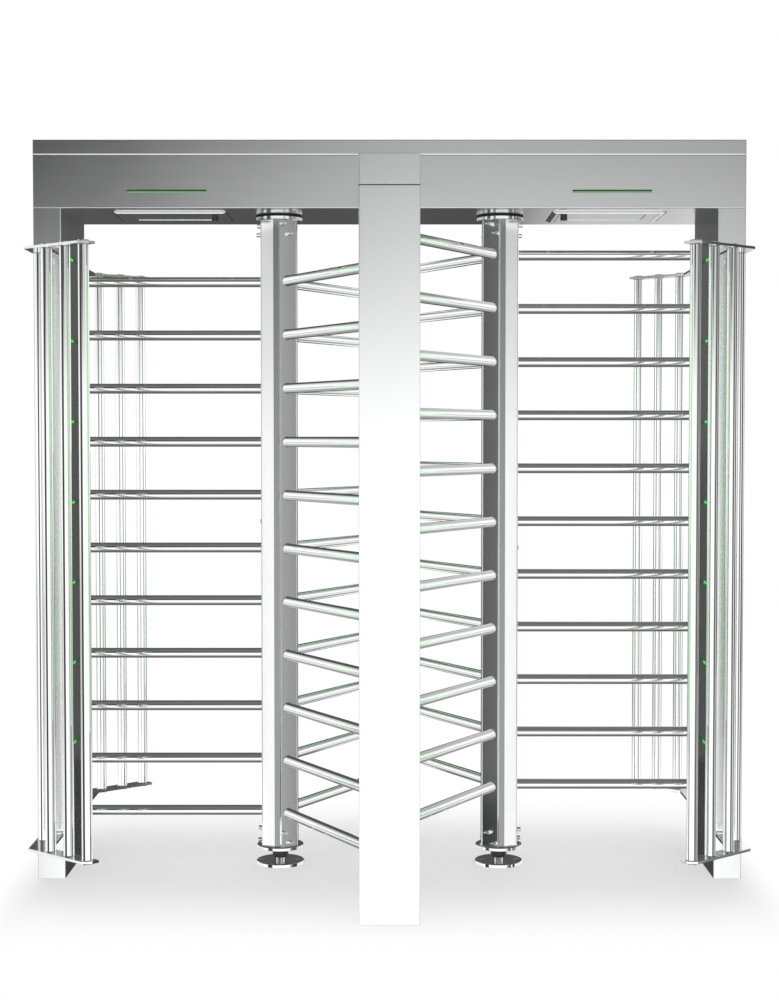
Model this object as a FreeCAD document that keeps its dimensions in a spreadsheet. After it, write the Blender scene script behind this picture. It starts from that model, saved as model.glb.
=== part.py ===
import FreeCAD, Part
import os
import re
import Sketcher

# Full height turnstile with two passages, millimetres, +Z up, front towards -Y.
# The origin is on the floor, midway between the side columns.
# Each rotor has three wings of round arms, and the arms of one rotor pass between those of the other.

doc = FreeCAD.newDocument("full_height_turnstile")
sheet = doc.addObject("Spreadsheet::Sheet", "Sizes")

SIZES = {
    "Portal": {
        "overall_width": 2300, "overall_height": 2400, "beam_depth": 430, "beam_height": 220,
        "lid_height": 48, "sheet": 3, "bend_radius": 2.5, "lid_flange": 25,
        "side_width": 90, "center_width": 180, "center_depth": 100,
        "cross_arm_height": 90, "base_thickness": 8, "cable_hole": 50,
        "anchor_hole": 14, "side_anchor_x": 44, "side_anchor_inset": 65,
        "center_anchor_x": 120, "center_anchor_y": 50,
    },
    "Lights": {
        "light_low": 416, "light_pitch": 269.5, "light_top_gap": 100, "light_length": 146,
        "light_height": 6, "light_lip": 5, "light_back": 3, "center_light_length": 60,
        "display_shift": 2, "display_rise": 54.7, "display_length": 252, "display_height": 6,
        "trim_gap": 0.3,
    },
    "Guard racks": {
        "guard_tube": 33.7, "guard_wall": 2, "guard_plate": 8, "guard_low": 146, "guard_drop": 155,
        "guard_proud": 4, "guard_margin": 25, "guard_angle": 40.7, "guard_spacing": 88,
        "guard_near_side": 228.5, "guard_near_face": 375.6, "guard_last_side": 43, "guard_last_face": 112,
        "guard_inset": 18, "guard_chamfer": 24, "weld_gap": 0.05,
        "bracket_size": 30, "bracket_sheet": 4, "bracket_side": 70, "screw_head": 12, "screw_proud": 5,
    },
    "Rotors": {
        "wing_side_gap": 35, "wing_post_gap": 25, "wing_center_gap": 55.5,
        "post_apothem": 60, "post_wall": 3, "post_bend": 7,
        "wing_edge": 9.2, "joint_band": 18, "joint_sunk": 2.5,
        "arm_tube": 33.7, "arm_wall": 2, "arm_tip": 3, "arm_chamfer": 2,
        "arm_low": 179.7, "arm_pitch": 178.2, "arm_top_gap": 100,
        "flange_diameter": 156, "top_flange": 10, "top_gap": 6, "bottom_flange": 9, "flange_low": 56,
        "neck_top": 58, "neck_bottom": 50, "neck_low": 22, "pivot_diameter": 28, "pivot_top": 51.7,
        "pivot_play": 0.3, "running_gap": 0.05, "disc_diameter": 160, "disc_thickness": 11,
        "disc_chamfer": 1.5, "disc_screw_circle": 122, "disc_screw": 8, "disc_screw_head": 16,
        "bolt_head": 14, "bolt_head_length": 11, "bolt_shank": 5.5, "bolt_tip": 8, "bolt_tip_length": 6,
        "bolt_proud": 34, "bolt_offset": 13, "bolt_shift": 8,
        "bolt_drop_a": 14, "bolt_drop_b": 46, "bolt_low_a": 115, "bolt_low_b": 80,
        "plug_diameter": 17, "plug_proud": 4,
    },
    "Lock mechanism": {
        "carrier_length": 300, "carrier_inset": 15, "carrier_plate": 8,
        "shaft_neck": 70, "shaft_seat": 60, "shaft_end": 50, "shaft_hole": 80, "shaft_rise": 98,
        "bearing_outer": 95, "bearing_width": 18, "housing_flange": 140, "housing_base": 12,
        "housing_outer": 112, "housing_height": 37, "housing_floor": 17,
        "wheel_radius": 95, "wheel_rise": 60, "wheel_thickness": 12, "notch_count": 12,
        "notch_depth": 9, "notch_mouth": 16, "notch_bottom": 13,
        "pawl_x": 80, "pawl_y": 100, "pawl_thickness": 10, "pawl_boss": 12, "pawl_pin": 12,
        "pawl_clear": 3, "nose_width": 8, "nose_root": 13, "nose_length": 10, "pawl_back": 20,
        "pawl_tail": 52, "tail_half": 8, "pawl_stroke": 6.4, "pin_shoulder": 20,
        "spring_outer": 19, "spring_height": 9, "pin_spare": 4,
        "magnet_x": 36, "magnet_y": 42, "magnet_z": 36, "magnet_pole": 16, "magnet_pole_reach": 5,
        "controller_x": 240, "controller_y": 160, "controller_z": 80,
    },
    "Service covers": {
        "cover_axis_gap": 165, "cover_side_gap": 155, "cover_front_y": -125, "cover_rear_y": 115,
        "cover_drop": 6, "cover_bevel": 12, "cover_lap": 12, "cover_rim": 4, "cover_fit": 1,
        "recess_inner": 58, "recess_outer": 60, "recess_front": 26, "recess_rear": 64, "recess_depth": 1.5,
        "groove_inset": 24, "groove_width": 2, "tongue_width": 30, "tongue_reach": 14,
        "tongue_sheet": 2.5, "lock_inset": 44, "lock_y": -45, "lock_diameter": 23, "lock_proud": 12,
        "cam_reach": 55, "cam_width": 14, "cam_sheet": 3, "key_slot": 9, "key_slot_width": 2,
    },
}


def fill_sheet():
    """Write every driving size into the sheet, one row each, with its name as alias."""
    row = 1
    for group, sizes in SIZES.items():
        sheet.set(f"A{row}", group)
        row += 1
        for alias, value in sizes.items():
            sheet.set(f"A{row}", alias.replace("_", " "))
            sheet.set(f"B{row}", str(value))
            sheet.setAlias(f"B{row}", alias)
            row += 1
    doc.recompute()


ALIASES = {alias for sizes in SIZES.values() for alias in sizes}


def formula(text):
    """Turn a formula in plain size names into an expression that reads the sheet."""
    return re.sub(r"[a-z_]+", lambda word: f"Sizes.{word[0]}" if word[0] in ALIASES else word[0], str(text))


def bind(thing, name, text):
    thing.setExpression(name, formula(text))


# Levels and places that several pieces share
SOFFIT = "(overall_height - beam_height)"
LID_SEAT = "(overall_height - lid_height)"
SIDE_INNER = "(overall_width / 2 - side_width)"
CARRIER_TOP = f"({SOFFIT} + sheet + carrier_plate)"
POST_TOP = f"({SOFFIT} - top_gap - top_flange)"
POST_LOW = "(flange_low + bottom_flange)"
WHEEL_LOW = f"({SOFFIT} + wheel_rise)"
BEARING_LOW = f"({CARRIER_TOP} + housing_floor)"
GUARD_HIGH = f"({SOFFIT} - guard_drop)"
DISPLAY_Z = f"({SOFFIT} + display_rise)"

# The near tube of a guard rack, on the right-hand rear corner
GUARD_X = "(overall_width / 2 - guard_near_side)"
GUARD_Y = "(beam_depth / 2 + guard_near_face)"

# The wings clear the side columns, the other rotor's post and the centre columns by their gaps
AXIS_X = f"(({SIDE_INNER} - wing_side_gap + post_apothem + wing_post_gap) / 3)"
ARM_REACH = f"(2 * {AXIS_X} - post_apothem - wing_post_gap)"
CENTER_REACH = (f"(center_depth + sqrt(({ARM_REACH} + wing_center_gap) ^ 2"
                f" - ({AXIS_X} - center_width / 2) ^ 2))")
COVER_INNER = f"({AXIS_X} + cover_axis_gap)"
COVER_OUTER = f"({SIDE_INNER} - cover_side_gap)"
COVER_LOCK_X = f"({COVER_INNER} + lock_inset)"
DISPLAY_X = f"(({COVER_INNER} + {COVER_OUTER}) / 2 - display_shift)"

# The rows of arms and lights have as many copies as fit under the beam
ARM_ROWS = f"(floor(({SOFFIT} - arm_top_gap - arm_low) / arm_pitch) + 1)"
OFFSET_ARM_ROWS = f"(floor(({SOFFIT} - arm_top_gap - arm_low) / arm_pitch - 0.5) + 1)"
LIGHT_ROWS = f"(floor(({SOFFIT} - light_top_gap - light_low) / light_pitch) + 1)"

SIDES = {"left": -1, "right": 1}
ENDS = {"front": -1, "rear": 1}


class Piece:
    """A body with helpers for its sketches, pads, pockets, turned features and patterns."""

    def __init__(self, name, x="0", y="0", z="0", turn=0):
        self.body = doc.addObject("PartDesign::Body", name)
        self.body.Label = name
        self.body.AllowCompound = True
        self.origin = {feature.Role: feature for feature in self.body.Origin.OriginFeatures}
        self.body.Placement = FreeCAD.Placement(
            FreeCAD.Vector(0, 0, 0), FreeCAD.Rotation(FreeCAD.Vector(0, 0, 1), turn))
        for axis, text in zip("xyz", (x, y, z)):
            bind(self.body, f"Placement.Base.{axis}", text)

    def sketch(self, plane, offset=("0", "0", "0")):
        drawing = self.body.newObject("Sketcher::SketchObject", "Sketch")
        drawing.AttachmentSupport = [(self.origin[plane], "")]
        drawing.MapMode = "FlatFace"
        for axis, text in zip("xyz", offset):
            bind(drawing, f"AttachmentOffset.Base.{axis}", text)
        return drawing

    def pad(self, drawing, length, both=False, reverse=False):
        feature = self.body.newObject("PartDesign::Pad", "Pad")
        feature.Profile = drawing
        bind(feature, "Length", length)
        feature.Midplane = both
        feature.Reversed = reverse
        return feature

    def pocket(self, drawing, depth=None, reverse=False):
        """Cut a sketch down its normal, up it when reversed, or right through both ways."""
        feature = self.body.newObject("PartDesign::Pocket", "Pocket")
        feature.Profile = drawing
        feature.Reversed = reverse
        if depth is None:
            feature.Type = "ThroughAll"
            feature.Midplane = True
        else:
            bind(feature, "Length", depth)
        return feature

    def turned(self, drawing, axis="V_Axis"):
        feature = self.body.newObject("PartDesign::Revolution", "Revolution")
        feature.Profile = drawing
        feature.ReferenceAxis = (drawing, [axis])
        feature.Angle = 360
        return feature

    def rows(self, features, spacing, count):
        """Repeat features up the Z axis."""
        pattern = self.body.newObject("PartDesign::LinearPattern", "Rows")
        pattern.Originals = features
        pattern.Direction = (self.origin["Z_Axis"], [""])
        pattern.Mode = "Spacing"
        bind(pattern, "Offset", spacing)
        bind(pattern, "Occurrences", count)
        self.body.Tip = pattern
        return pattern

    def ring(self, features, count):
        """Repeat features round the Z axis."""
        pattern = self.body.newObject("PartDesign::PolarPattern", "Ring")
        pattern.Originals = features
        pattern.Axis = (self.origin["Z_Axis"], [""])
        pattern.Angle = 360
        bind(pattern, "Occurrences", count)
        self.body.Tip = pattern
        return pattern

    def round_edges(self, base, radius, wanted):
        """Fillet the edges of a feature that a test on their two ends picks out."""
        doc.recompute()
        names = []
        for number, edge in enumerate(base.Shape.Edges, 1):
            ends = [vertex.Point for vertex in edge.Vertexes]
            if len(ends) == 2 and wanted(ends[0], ends[1], base.Shape.BoundBox):
                names.append(f"Edge{number}")
        feature = self.body.newObject("PartDesign::Fillet", "Fillet")
        feature.Base = (base, names)
        bind(feature, "Radius", radius)
        return feature


def named_rule(label, *rule):
    """Make a constraint that a formula can find by its name."""
    constraint = Sketcher.Constraint(*rule)
    constraint.Name = label
    return constraint


def polygon(drawing, points):
    """Draw a closed outline whose corners are pairs of formulas measured from the sketch origin."""
    count = len(points)
    start = Part.makeCircle(100).discretize(Number=count + 1)[:count]
    first = drawing.GeometryCount
    lines = [Part.LineSegment(start[index], start[(index + 1) % count]) for index in range(count)]
    drawing.addGeometry(lines, False)
    rules = []
    for index in range(count):
        rules.append(Sketcher.Constraint("Coincident", first + index, 2, first + (index + 1) % count, 1))
    texts = {}
    for index, corner in enumerate(points):
        for kind, place, text in zip(("DistanceX", "DistanceY"), start[index], corner):
            label = f"{kind}{first + index}"
            rules.append(named_rule(label, kind, -1, 1, first + index, 1, place))
            texts[label] = text
    drawing.addConstraint(rules)
    for label, text in texts.items():
        bind(drawing, f"Constraints.{label}", text)


def rectangle(drawing, left, low, right, high):
    polygon(drawing, [(left, low), (right, low), (right, high), (left, high)])


def centred(drawing, width, height, x="0", y="0"):
    """Draw a rectangle about a centre."""
    rectangle(drawing, f"{x} - {width} / 2", f"{y} - {height} / 2",
              f"{x} + {width} / 2", f"{y} + {height} / 2")


def circle(drawing, diameter, x="0", y="0"):
    round_line = Part.Circle(FreeCAD.Vector(1, 1, 0), FreeCAD.Vector(0, 0, 1), 5)
    index = drawing.addGeometry(round_line, False)
    drawing.addConstraint([
        named_rule(f"across{index}", "Diameter", index, 10),
        named_rule(f"right{index}", "DistanceX", -1, 1, index, 3, 1),
        named_rule(f"up{index}", "DistanceY", -1, 1, index, 3, 1),
    ])
    bind(drawing, f"Constraints.across{index}", diameter)
    bind(drawing, f"Constraints.right{index}", x)
    bind(drawing, f"Constraints.up{index}", y)


def lathe(name, outline, x="0", y="0"):
    """Make a piece turned about its own vertical axis from pairs of radius and height."""
    piece = Piece(name, x, y)
    drawing = piece.sketch("XZ_Plane")
    polygon(drawing, outline)
    piece.turned(drawing)
    return piece


def upright(first, second, bounds):
    return abs(first.x - second.x) < 0.01 and abs(first.y - second.y) < 0.01


def at_floor(first, second, bounds):
    return abs(first.z - bounds.ZMin) < 0.01 and abs(second.z - bounds.ZMin) < 0.01


def at_top(first, second, bounds):
    return abs(first.z - bounds.ZMax) < 0.01 and abs(second.z - bounds.ZMax) < 0.01


# Portal: a folded sheet beam with its lid, on two side columns

def beam_body():
    piece = Piece("beam_body", z=SOFFIT)
    height = "(beam_height - lid_height)"
    outline = piece.sketch("XY_Plane")
    centred(outline, "overall_width", "beam_depth")
    shell = piece.pad(outline, height)
    piece.round_edges(shell, "bend_radius", lambda *edge: upright(*edge) or at_floor(*edge) or at_top(*edge))
    cavity = piece.sketch("XY_Plane", ("0", "0", "sheet"))
    centred(cavity, "(overall_width - 2 * sheet)", "(beam_depth - 2 * sheet)")
    piece.pocket(cavity, f"{height} - 2 * sheet", reverse=True)
    mouth = piece.sketch("XY_Plane", ("0", "0", height))
    centred(mouth, "(overall_width - 2 * lid_flange)", "(beam_depth - 2 * lid_flange)")
    piece.pocket(mouth, "2 * sheet")
    floor = piece.sketch("XY_Plane", ("0", "0", "sheet"))
    for side in SIDES.values():
        circle(floor, "shaft_hole", f"{side} * {AXIS_X}")
        circle(floor, "cable_hole", f"{side} * (overall_width - side_width) / 2")
        rectangle(floor, f"{side} * ({COVER_INNER} + cover_lap)", "cover_front_y + cover_lap",
                  f"{side} * ({COVER_OUTER} - cover_lap)", "cover_rear_y - cover_lap")
    piece.pocket(floor, "2 * sheet")
    faces = piece.sketch("XZ_Plane")
    circle(faces, "cable_hole", "0", "cross_arm_height / 2")
    for side in SIDES.values():
        centred(faces, "(display_length + 2 * trim_gap)", "(display_height + 2 * trim_gap)",
                f"{side} * {DISPLAY_X}", "display_rise")
    piece.pocket(faces)


def beam_lid():
    piece = Piece("beam_lid", z=LID_SEAT)
    outline = piece.sketch("XY_Plane")
    centred(outline, "overall_width", "beam_depth")
    shell = piece.pad(outline, "lid_height")
    piece.round_edges(shell, "bend_radius", lambda *edge: upright(*edge) or at_top(*edge))
    cavity = piece.sketch("XY_Plane")
    centred(cavity, "(overall_width - 2 * sheet)", "(beam_depth - 2 * sheet)")
    piece.pocket(cavity, "lid_height - sheet", reverse=True)


def column(name, x, y, width, depth, anchors, slots):
    """Make a folded column with a welded floor plate inside it and slots for its lights."""
    piece = Piece(name, x, y)
    outline = piece.sketch("XY_Plane")
    centred(outline, width, depth)
    shell = piece.pad(outline, SOFFIT)
    piece.round_edges(shell, "bend_radius", upright)
    cavity = piece.sketch("XY_Plane", ("0", "0", "base_thickness"))
    centred(cavity, f"({width} - 2 * sheet)", f"({depth} - 2 * sheet)")
    piece.pocket(cavity, SOFFIT, reverse=True)
    holes = piece.sketch("XY_Plane", ("0", "0", "base_thickness"))
    for across in (-1, 1):
        for along in (-1, 1):
            circle(holes, "anchor_hole", f"{across} * {anchors[0]} / 2", f"{along} * {anchors[1]} / 2")
    piece.pocket(holes, "2 * base_thickness")
    length, wall, depth_of_cut = slots
    slot = piece.sketch("YZ_Plane", ("0", "0", wall))
    centred(slot, f"({length} + 2 * trim_gap)", "(light_height + 2 * trim_gap)", "0", "light_low")
    first = piece.pocket(slot, depth_of_cut)
    piece.rows([first], "light_pitch", LIGHT_ROWS)


def portal():
    beam_body()
    beam_lid()
    for name, side in SIDES.items():
        inner_wall = "side_width / 2 + 1" if side < 0 else "sheet + 1 - side_width / 2"
        column(f"side_column_{name}", f"{side} * (overall_width - side_width) / 2", "0",
               "side_width", "beam_depth", ("side_anchor_x", "(beam_depth - 2 * side_anchor_inset)"),
               ("light_length", inner_wall, "sheet + 2"))
    for name, end in ENDS.items():
        column(f"center_column_{name}", "0", f"{end} * ({CENTER_REACH} - center_depth / 2)",
               "center_width", "center_depth", ("center_anchor_x", "center_anchor_y"),
               ("center_light_length", "center_width / 2 + 1", "center_width + 2"))
        cross_arm(f"cross_arm_{name}", end)


def cross_arm(name, end):
    """Make the hollow arm that ties a centre column to the beam, open where it meets the beam."""
    length = f"({CENTER_REACH} - beam_depth / 2)"
    piece = Piece(name, "0", f"{end} * ({CENTER_REACH} + beam_depth / 2) / 2", SOFFIT)
    outline = piece.sketch("XY_Plane")
    centred(outline, "center_width", length)
    shell = piece.pad(outline, "cross_arm_height")

    def far_edge(first, second, bounds):
        far = bounds.YMin if end < 0 else bounds.YMax
        return abs(first.y - far) < 0.01 and abs(second.y - far) < 0.01 and upright(first, second, bounds)

    piece.round_edges(shell, "bend_radius", far_edge)
    cavity = piece.sketch("XY_Plane", ("0", "0", "sheet"))
    centred(cavity, "(center_width - 2 * sheet)", length, "0", f"(0 - {end} * sheet)")
    piece.pocket(cavity, "cross_arm_height - 2 * sheet", reverse=True)
    passage = piece.sketch("XY_Plane", ("0", "0", "sheet"))
    circle(passage, "cable_hole", "0", f"{end} * ({length} - center_depth) / 2")
    piece.pocket(passage, "2 * sheet")


# Light guides: a lens in each slot, with a lip behind the sheet

def light_set(piece, length, face, inward, y):
    """Add the lowest lens of a column and its lip, and return them for the pattern up the column."""
    lens = piece.sketch("YZ_Plane", ("0", "0", face))
    centred(lens, length, "light_height", y, "light_low")
    front = piece.pad(lens, "sheet", reverse=inward < 0)
    lip = piece.sketch("YZ_Plane", ("0", "0", f"{face} + {inward} * sheet"))
    centred(lip, f"({length} + 2 * light_lip)", "(light_height + 2 * light_lip)", y, "light_low")
    back = piece.pad(lip, "light_back", reverse=inward < 0)
    return [front, back]


def lights():
    for name, side in SIDES.items():
        piece = Piece(f"side_lights_{name}")
        lowest = light_set(piece, "light_length", f"{side} * {SIDE_INNER}", side, "0")
        piece.rows(lowest, "light_pitch", LIGHT_ROWS)
    piece = Piece("center_lights")
    lowest = []
    for side in SIDES.values():
        for end in ENDS.values():
            middle = f"{end} * ({CENTER_REACH} - center_depth / 2)"
            lowest += light_set(piece, "center_light_length", f"{side} * center_width / 2", -side, middle)
    piece.rows(lowest, "light_pitch", LIGHT_ROWS)
    piece = Piece("display_bars", z=DISPLAY_Z)
    for end in ENDS.values():
        for side in SIDES.values():
            lens = piece.sketch("XZ_Plane", ("0", "0", f"0 - {end} * beam_depth / 2"))
            centred(lens, "display_length", "display_height", f"{side} * {DISPLAY_X}")
            piece.pad(lens, "sheet", reverse=end < 0)
            lip = piece.sketch("XZ_Plane", ("0", "0", f"0 - {end} * (beam_depth / 2 - sheet)"))
            centred(lip, "(display_length + 2 * light_lip)", "(display_height + 2 * light_lip)",
                    f"{side} * {DISPLAY_X}")
            piece.pad(lip, "light_back", reverse=end < 0)


# Guard racks: four upright tubes welded between two cranked plates, at each corner of the portal

def rack_point(side, end, along, across):
    """Give a place measured from the nearest tube, along the row of tubes and across it."""
    lean = "guard_angle * 1 deg"
    x = f"{side} * ({GUARD_X} + ({along}) * cos({lean}) - ({across}) * sin({lean}))"
    y = f"{end} * ({GUARD_Y} - ({along}) * sin({lean}) - ({across}) * cos({lean}))"
    return x, y


def rack_bend(side, end, edge_x, across):
    """Give the corner where an edge of the row meets an upright edge of the plate at edge_x."""
    lean = "guard_angle * 1 deg"
    drop = f"({edge_x} - {GUARD_X}) * tan({lean}) + ({across}) / cos({lean})"
    return f"{side} * {edge_x}", f"{end} * ({GUARD_Y} - ({drop}))"


def rack_tubes(side, end):
    """List the centres of a rack's tubes: three in a leaning row, and one near the column."""
    row = [rack_point(side, end, f"{index} * guard_spacing", "0") for index in range(3)]
    last = (f"{side} * (overall_width / 2 - guard_last_side)", f"{end} * (beam_depth / 2 + guard_last_face)")
    return row + [last]


def guard_rack(place, side, end):
    margin = "guard_margin"
    outer = "(overall_width / 2 - guard_inset)"
    outline = [
        (f"{side} * {outer}", f"{end} * beam_depth / 2"),
        rack_bend(side, end, outer, f"0 - {margin}"),
        rack_point(side, end, f"guard_chamfer - {margin}", f"0 - {margin}"),
        rack_point(side, end, f"0 - {margin}", f"guard_chamfer - {margin}"),
        rack_point(side, end, f"0 - {margin}", margin),
        rack_bend(side, end, SIDE_INNER, margin),
        (f"{side} * {SIDE_INNER}", f"{end} * beam_depth / 2"),
    ]
    plates = Piece(f"guard_plates_{place}")
    for level in ("guard_low", GUARD_HIGH):
        drawing = plates.sketch("XY_Plane", ("0", "0", level))
        polygon(drawing, outline)
        for centre in rack_tubes(side, end):
            circle(drawing, "(guard_tube + 2 * weld_gap)", *centre)
        plates.pad(drawing, "guard_plate")
    tubes = Piece(f"guard_tubes_{place}", z="guard_low - guard_proud")
    length = f"({GUARD_HIGH} - guard_low + guard_plate + 2 * guard_proud)"
    drawing = tubes.sketch("XY_Plane")
    bore = tubes.sketch("XY_Plane")
    for centre in rack_tubes(side, end):
        circle(drawing, "guard_tube", *centre)
        circle(bore, "(guard_tube - 2 * guard_wall)", *centre)
    tubes.pad(drawing, length)
    tubes.pocket(bore, f"{length} - guard_wall", reverse=True)


def guard_racks():
    for end_name, end in ENDS.items():
        for side_name, side in SIDES.items():
            guard_rack(f"{end_name}_{side_name}", side, end)
    brackets = Piece("guard_brackets")
    screws = Piece("guard_screws")
    for end in ENDS.values():
        for side in SIDES.values():
            for level, up in (("(guard_low + guard_plate)", 1), (GUARD_HIGH, -1)):
                bracket(brackets, screws, side, end, level, up)


def bracket(brackets, screws, side, end, level, up):
    """Add the angle that holds a guard plate to its column, with one screw into the column."""
    face = "beam_depth / 2"
    x = f"{side} * (overall_width / 2 - bracket_side)"
    drawing = brackets.sketch("YZ_Plane", ("0", "0", x))
    polygon(drawing, [
        (f"{end} * {face}", level),
        (f"{end} * ({face} + bracket_size)", level),
        (f"{end} * ({face} + bracket_size)", f"{level} + {up} * bracket_sheet"),
        (f"{end} * ({face} + bracket_sheet)", f"{level} + {up} * bracket_sheet"),
        (f"{end} * ({face} + bracket_sheet)", f"{level} + {up} * bracket_size"),
        (f"{end} * {face}", f"{level} + {up} * bracket_size"),
    ])
    brackets.pad(drawing, "bracket_size", both=True)
    middle = f"({level} + {up} * bracket_size * 0.6)"
    head = screws.sketch("XZ_Plane", ("0", "0", f"0 - {end} * ({face} + bracket_sheet)"))
    circle(head, "screw_head", x, middle)
    screws.pad(head, "screw_proud", reverse=end > 0)


# Rotors: a folded post with three wings of arms, between a floor pivot and the lock mechanism

def post_outline(mirror, apothem, edge, band, sunk):
    """Draw the post's section: three folded sheets, with a sunk joint beside each wing face."""
    corner = f"({apothem} / cos(30 deg))"
    sector = [
        (sunk, f"({band} / 2 - {corner})"),
        (f"({edge} * cos(30 deg))", f"({edge} / 2 - {corner})"),
        (apothem, f"(0 - {corner} / 2)"),
        (apothem, f"({corner} / 2 - {band})"),
    ]
    points = []
    for turn in (0, 120, 240):
        for x, y in sector:
            turned_x = f"{x} * cos({turn} deg) - {y} * sin({turn} deg)"
            turned_y = f"{x} * sin({turn} deg) + {y} * cos({turn} deg)"
            points.append((f"{mirror} * ({turned_x})", turned_y))
    return points


def rotor_post(name, side):
    piece = Piece(f"{name}_post", f"{side} * {AXIS_X}", "0", POST_LOW)
    outline = piece.sketch("XY_Plane")
    polygon(outline, post_outline(-side, "post_apothem", "wing_edge", "joint_band", "joint_sunk"))
    solid = piece.pad(outline, f"{POST_TOP} - {POST_LOW}")

    def folded_corner(first, second, bounds):
        reach = max(bounds.YMax, -bounds.YMin)
        return upright(first, second, bounds) and first.x ** 2 + first.y ** 2 > (reach * 0.999) ** 2

    piece.round_edges(solid, "post_bend", folded_corner)
    inside = piece.sketch("XY_Plane")
    polygon(inside, post_outline(-side, "(post_apothem - post_wall)", "(wing_edge + post_wall * 0.15)",
                                 "(joint_band - post_wall * 0.31)", "(joint_sunk + post_wall * 0.4)"))
    piece.pocket(inside)


def wing(name, side, turn, lowest, count):
    """Make one wing: a column of round arms with closed tips, welded to a face of the post."""
    piece = Piece(name, f"{side} * {AXIS_X}", "0", lowest, turn)
    section = piece.sketch("XZ_Plane")
    outer = "(arm_tube / 2)"
    bore = "(arm_tube / 2 - arm_wall)"
    polygon(section, [
        ("post_apothem", bore), ("post_apothem", outer),
        (f"{ARM_REACH} - arm_chamfer", outer), (ARM_REACH, f"{outer} - arm_chamfer"),
        (ARM_REACH, "0"), (f"{ARM_REACH} - arm_tip", "0"), (f"{ARM_REACH} - arm_tip", bore),
    ])
    arm = piece.turned(section, "H_Axis")
    piece.rows([arm], "arm_pitch", count)


def face_pieces(name, side, places, outline, faces):
    """Put pieces turned about a line square to a wing face on one or on all three wing faces of a post."""
    piece = Piece(name, f"{side} * {AXIS_X}", "0", "0", 0 if side > 0 else 180)
    features = []
    for offset, level in places:
        section = piece.sketch("XZ_Plane", ("0", level, f"0 - ({offset})"))
        polygon(section, outline)
        features.append(piece.turned(section, "H_Axis"))
    if faces > 1:
        piece.ring(features, faces)


def rotor(name, side):
    x = f"{side} * {AXIS_X}"
    lowest = "arm_low" if side < 0 else "(arm_low + arm_pitch / 2)"
    count = ARM_ROWS if side < 0 else OFFSET_ARM_ROWS
    rotor_post(name, side)
    outward = 180 if side < 0 else 0
    for word, turn in (("outer", 0), ("front", -side * 120), ("rear", side * 120)):
        wing(f"{name}_wing_{word}", side, outward + turn, lowest, count)
    upper = f"({side} * bolt_shift - bolt_offset)"
    lower = f"({side} * bolt_shift + bolt_offset)"
    places = [(upper, f"{POST_TOP} - bolt_drop_a"), (lower, f"{POST_TOP} - bolt_drop_b"),
              (upper, "bolt_low_a"), (lower, "bolt_low_b")]
    face_pieces(f"{name}_post_bolts", side, places, [
        ("post_apothem", "0"), ("post_apothem", "bolt_head / 2"),
        ("post_apothem + bolt_head_length", "bolt_head / 2"),
        ("post_apothem + bolt_head_length", "bolt_shank / 2"),
        ("post_apothem + bolt_proud - bolt_tip_length", "bolt_shank / 2"),
        ("post_apothem + bolt_proud - bolt_tip_length", "bolt_tip / 2"),
        ("post_apothem + bolt_proud", "bolt_tip / 2"), ("post_apothem + bolt_proud", "0"),
    ], 3)
    between = "arm_low + arm_pitch * 5.5" if side < 0 else "arm_low + arm_pitch * 5"
    face_pieces(f"{name}_post_plug", side, [("0", between)], [
        ("post_apothem", "0"), ("post_apothem", "plug_diameter / 2"),
        ("post_apothem + plug_proud", "plug_diameter / 2 - 1"), ("post_apothem + plug_proud", "0"),
    ], 1)
    lathe(f"{name}_drive_shaft", [
        ("0", POST_TOP), ("flange_diameter / 2", POST_TOP),
        ("flange_diameter / 2", f"{POST_TOP} + top_flange"), ("shaft_neck / 2", f"{POST_TOP} + top_flange"),
        ("shaft_neck / 2", f"{BEARING_LOW} - pivot_play"), ("shaft_seat / 2", f"{BEARING_LOW} - pivot_play"),
        ("shaft_seat / 2", WHEEL_LOW), ("shaft_end / 2", WHEEL_LOW),
        ("shaft_end / 2", f"{POST_TOP} + shaft_rise"), ("0", f"{POST_TOP} + shaft_rise"),
    ], x)
    pivot_bore = "(pivot_diameter / 2 + running_gap)"
    lathe(f"{name}_bottom_flange", [
        ("0", POST_LOW), ("flange_diameter / 2", POST_LOW), ("flange_diameter / 2", "flange_low"),
        ("neck_top / 2", "flange_low"), ("neck_bottom / 2", "neck_low"), (pivot_bore, "neck_low"),
        (pivot_bore, "pivot_top + pivot_play"), ("0", "pivot_top + pivot_play"),
    ], x)
    lathe(f"{name}_floor_pivot", [
        ("0", "0"), ("disc_diameter / 2", "0"), ("disc_diameter / 2", "disc_thickness - disc_chamfer"),
        ("disc_diameter / 2 - disc_chamfer", "disc_thickness"), ("pivot_diameter / 2", "disc_thickness"),
        ("pivot_diameter / 2", "pivot_top"), ("0", "pivot_top"),
    ], x)
    lock_wheel(f"{name}_lock_wheel", x)


def lock_wheel(name, x):
    piece = Piece(name, x, "0", WHEEL_LOW)
    blank = piece.sketch("XY_Plane")
    circle(blank, "(2 * wheel_radius)")
    circle(blank, "(shaft_end + 2 * running_gap)")
    piece.pad(blank, "wheel_thickness")
    notch = piece.sketch("XY_Plane", ("0", "0", "wheel_thickness"))
    polygon(notch, [
        ("0 - notch_bottom / 2", "wheel_radius - notch_depth"),
        ("notch_bottom / 2", "wheel_radius - notch_depth"),
        ("notch_mouth / 2 + 1", "wheel_radius + notch_depth"),
        ("0 - notch_mouth / 2 - 1", "wheel_radius + notch_depth"),
    ])
    cut = piece.pocket(notch, "2 * wheel_thickness")
    piece.ring([cut], "notch_count")


# Lock mechanism: carrier, bearing, and two pawls that magnets swing into the lock wheel's notches

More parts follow.
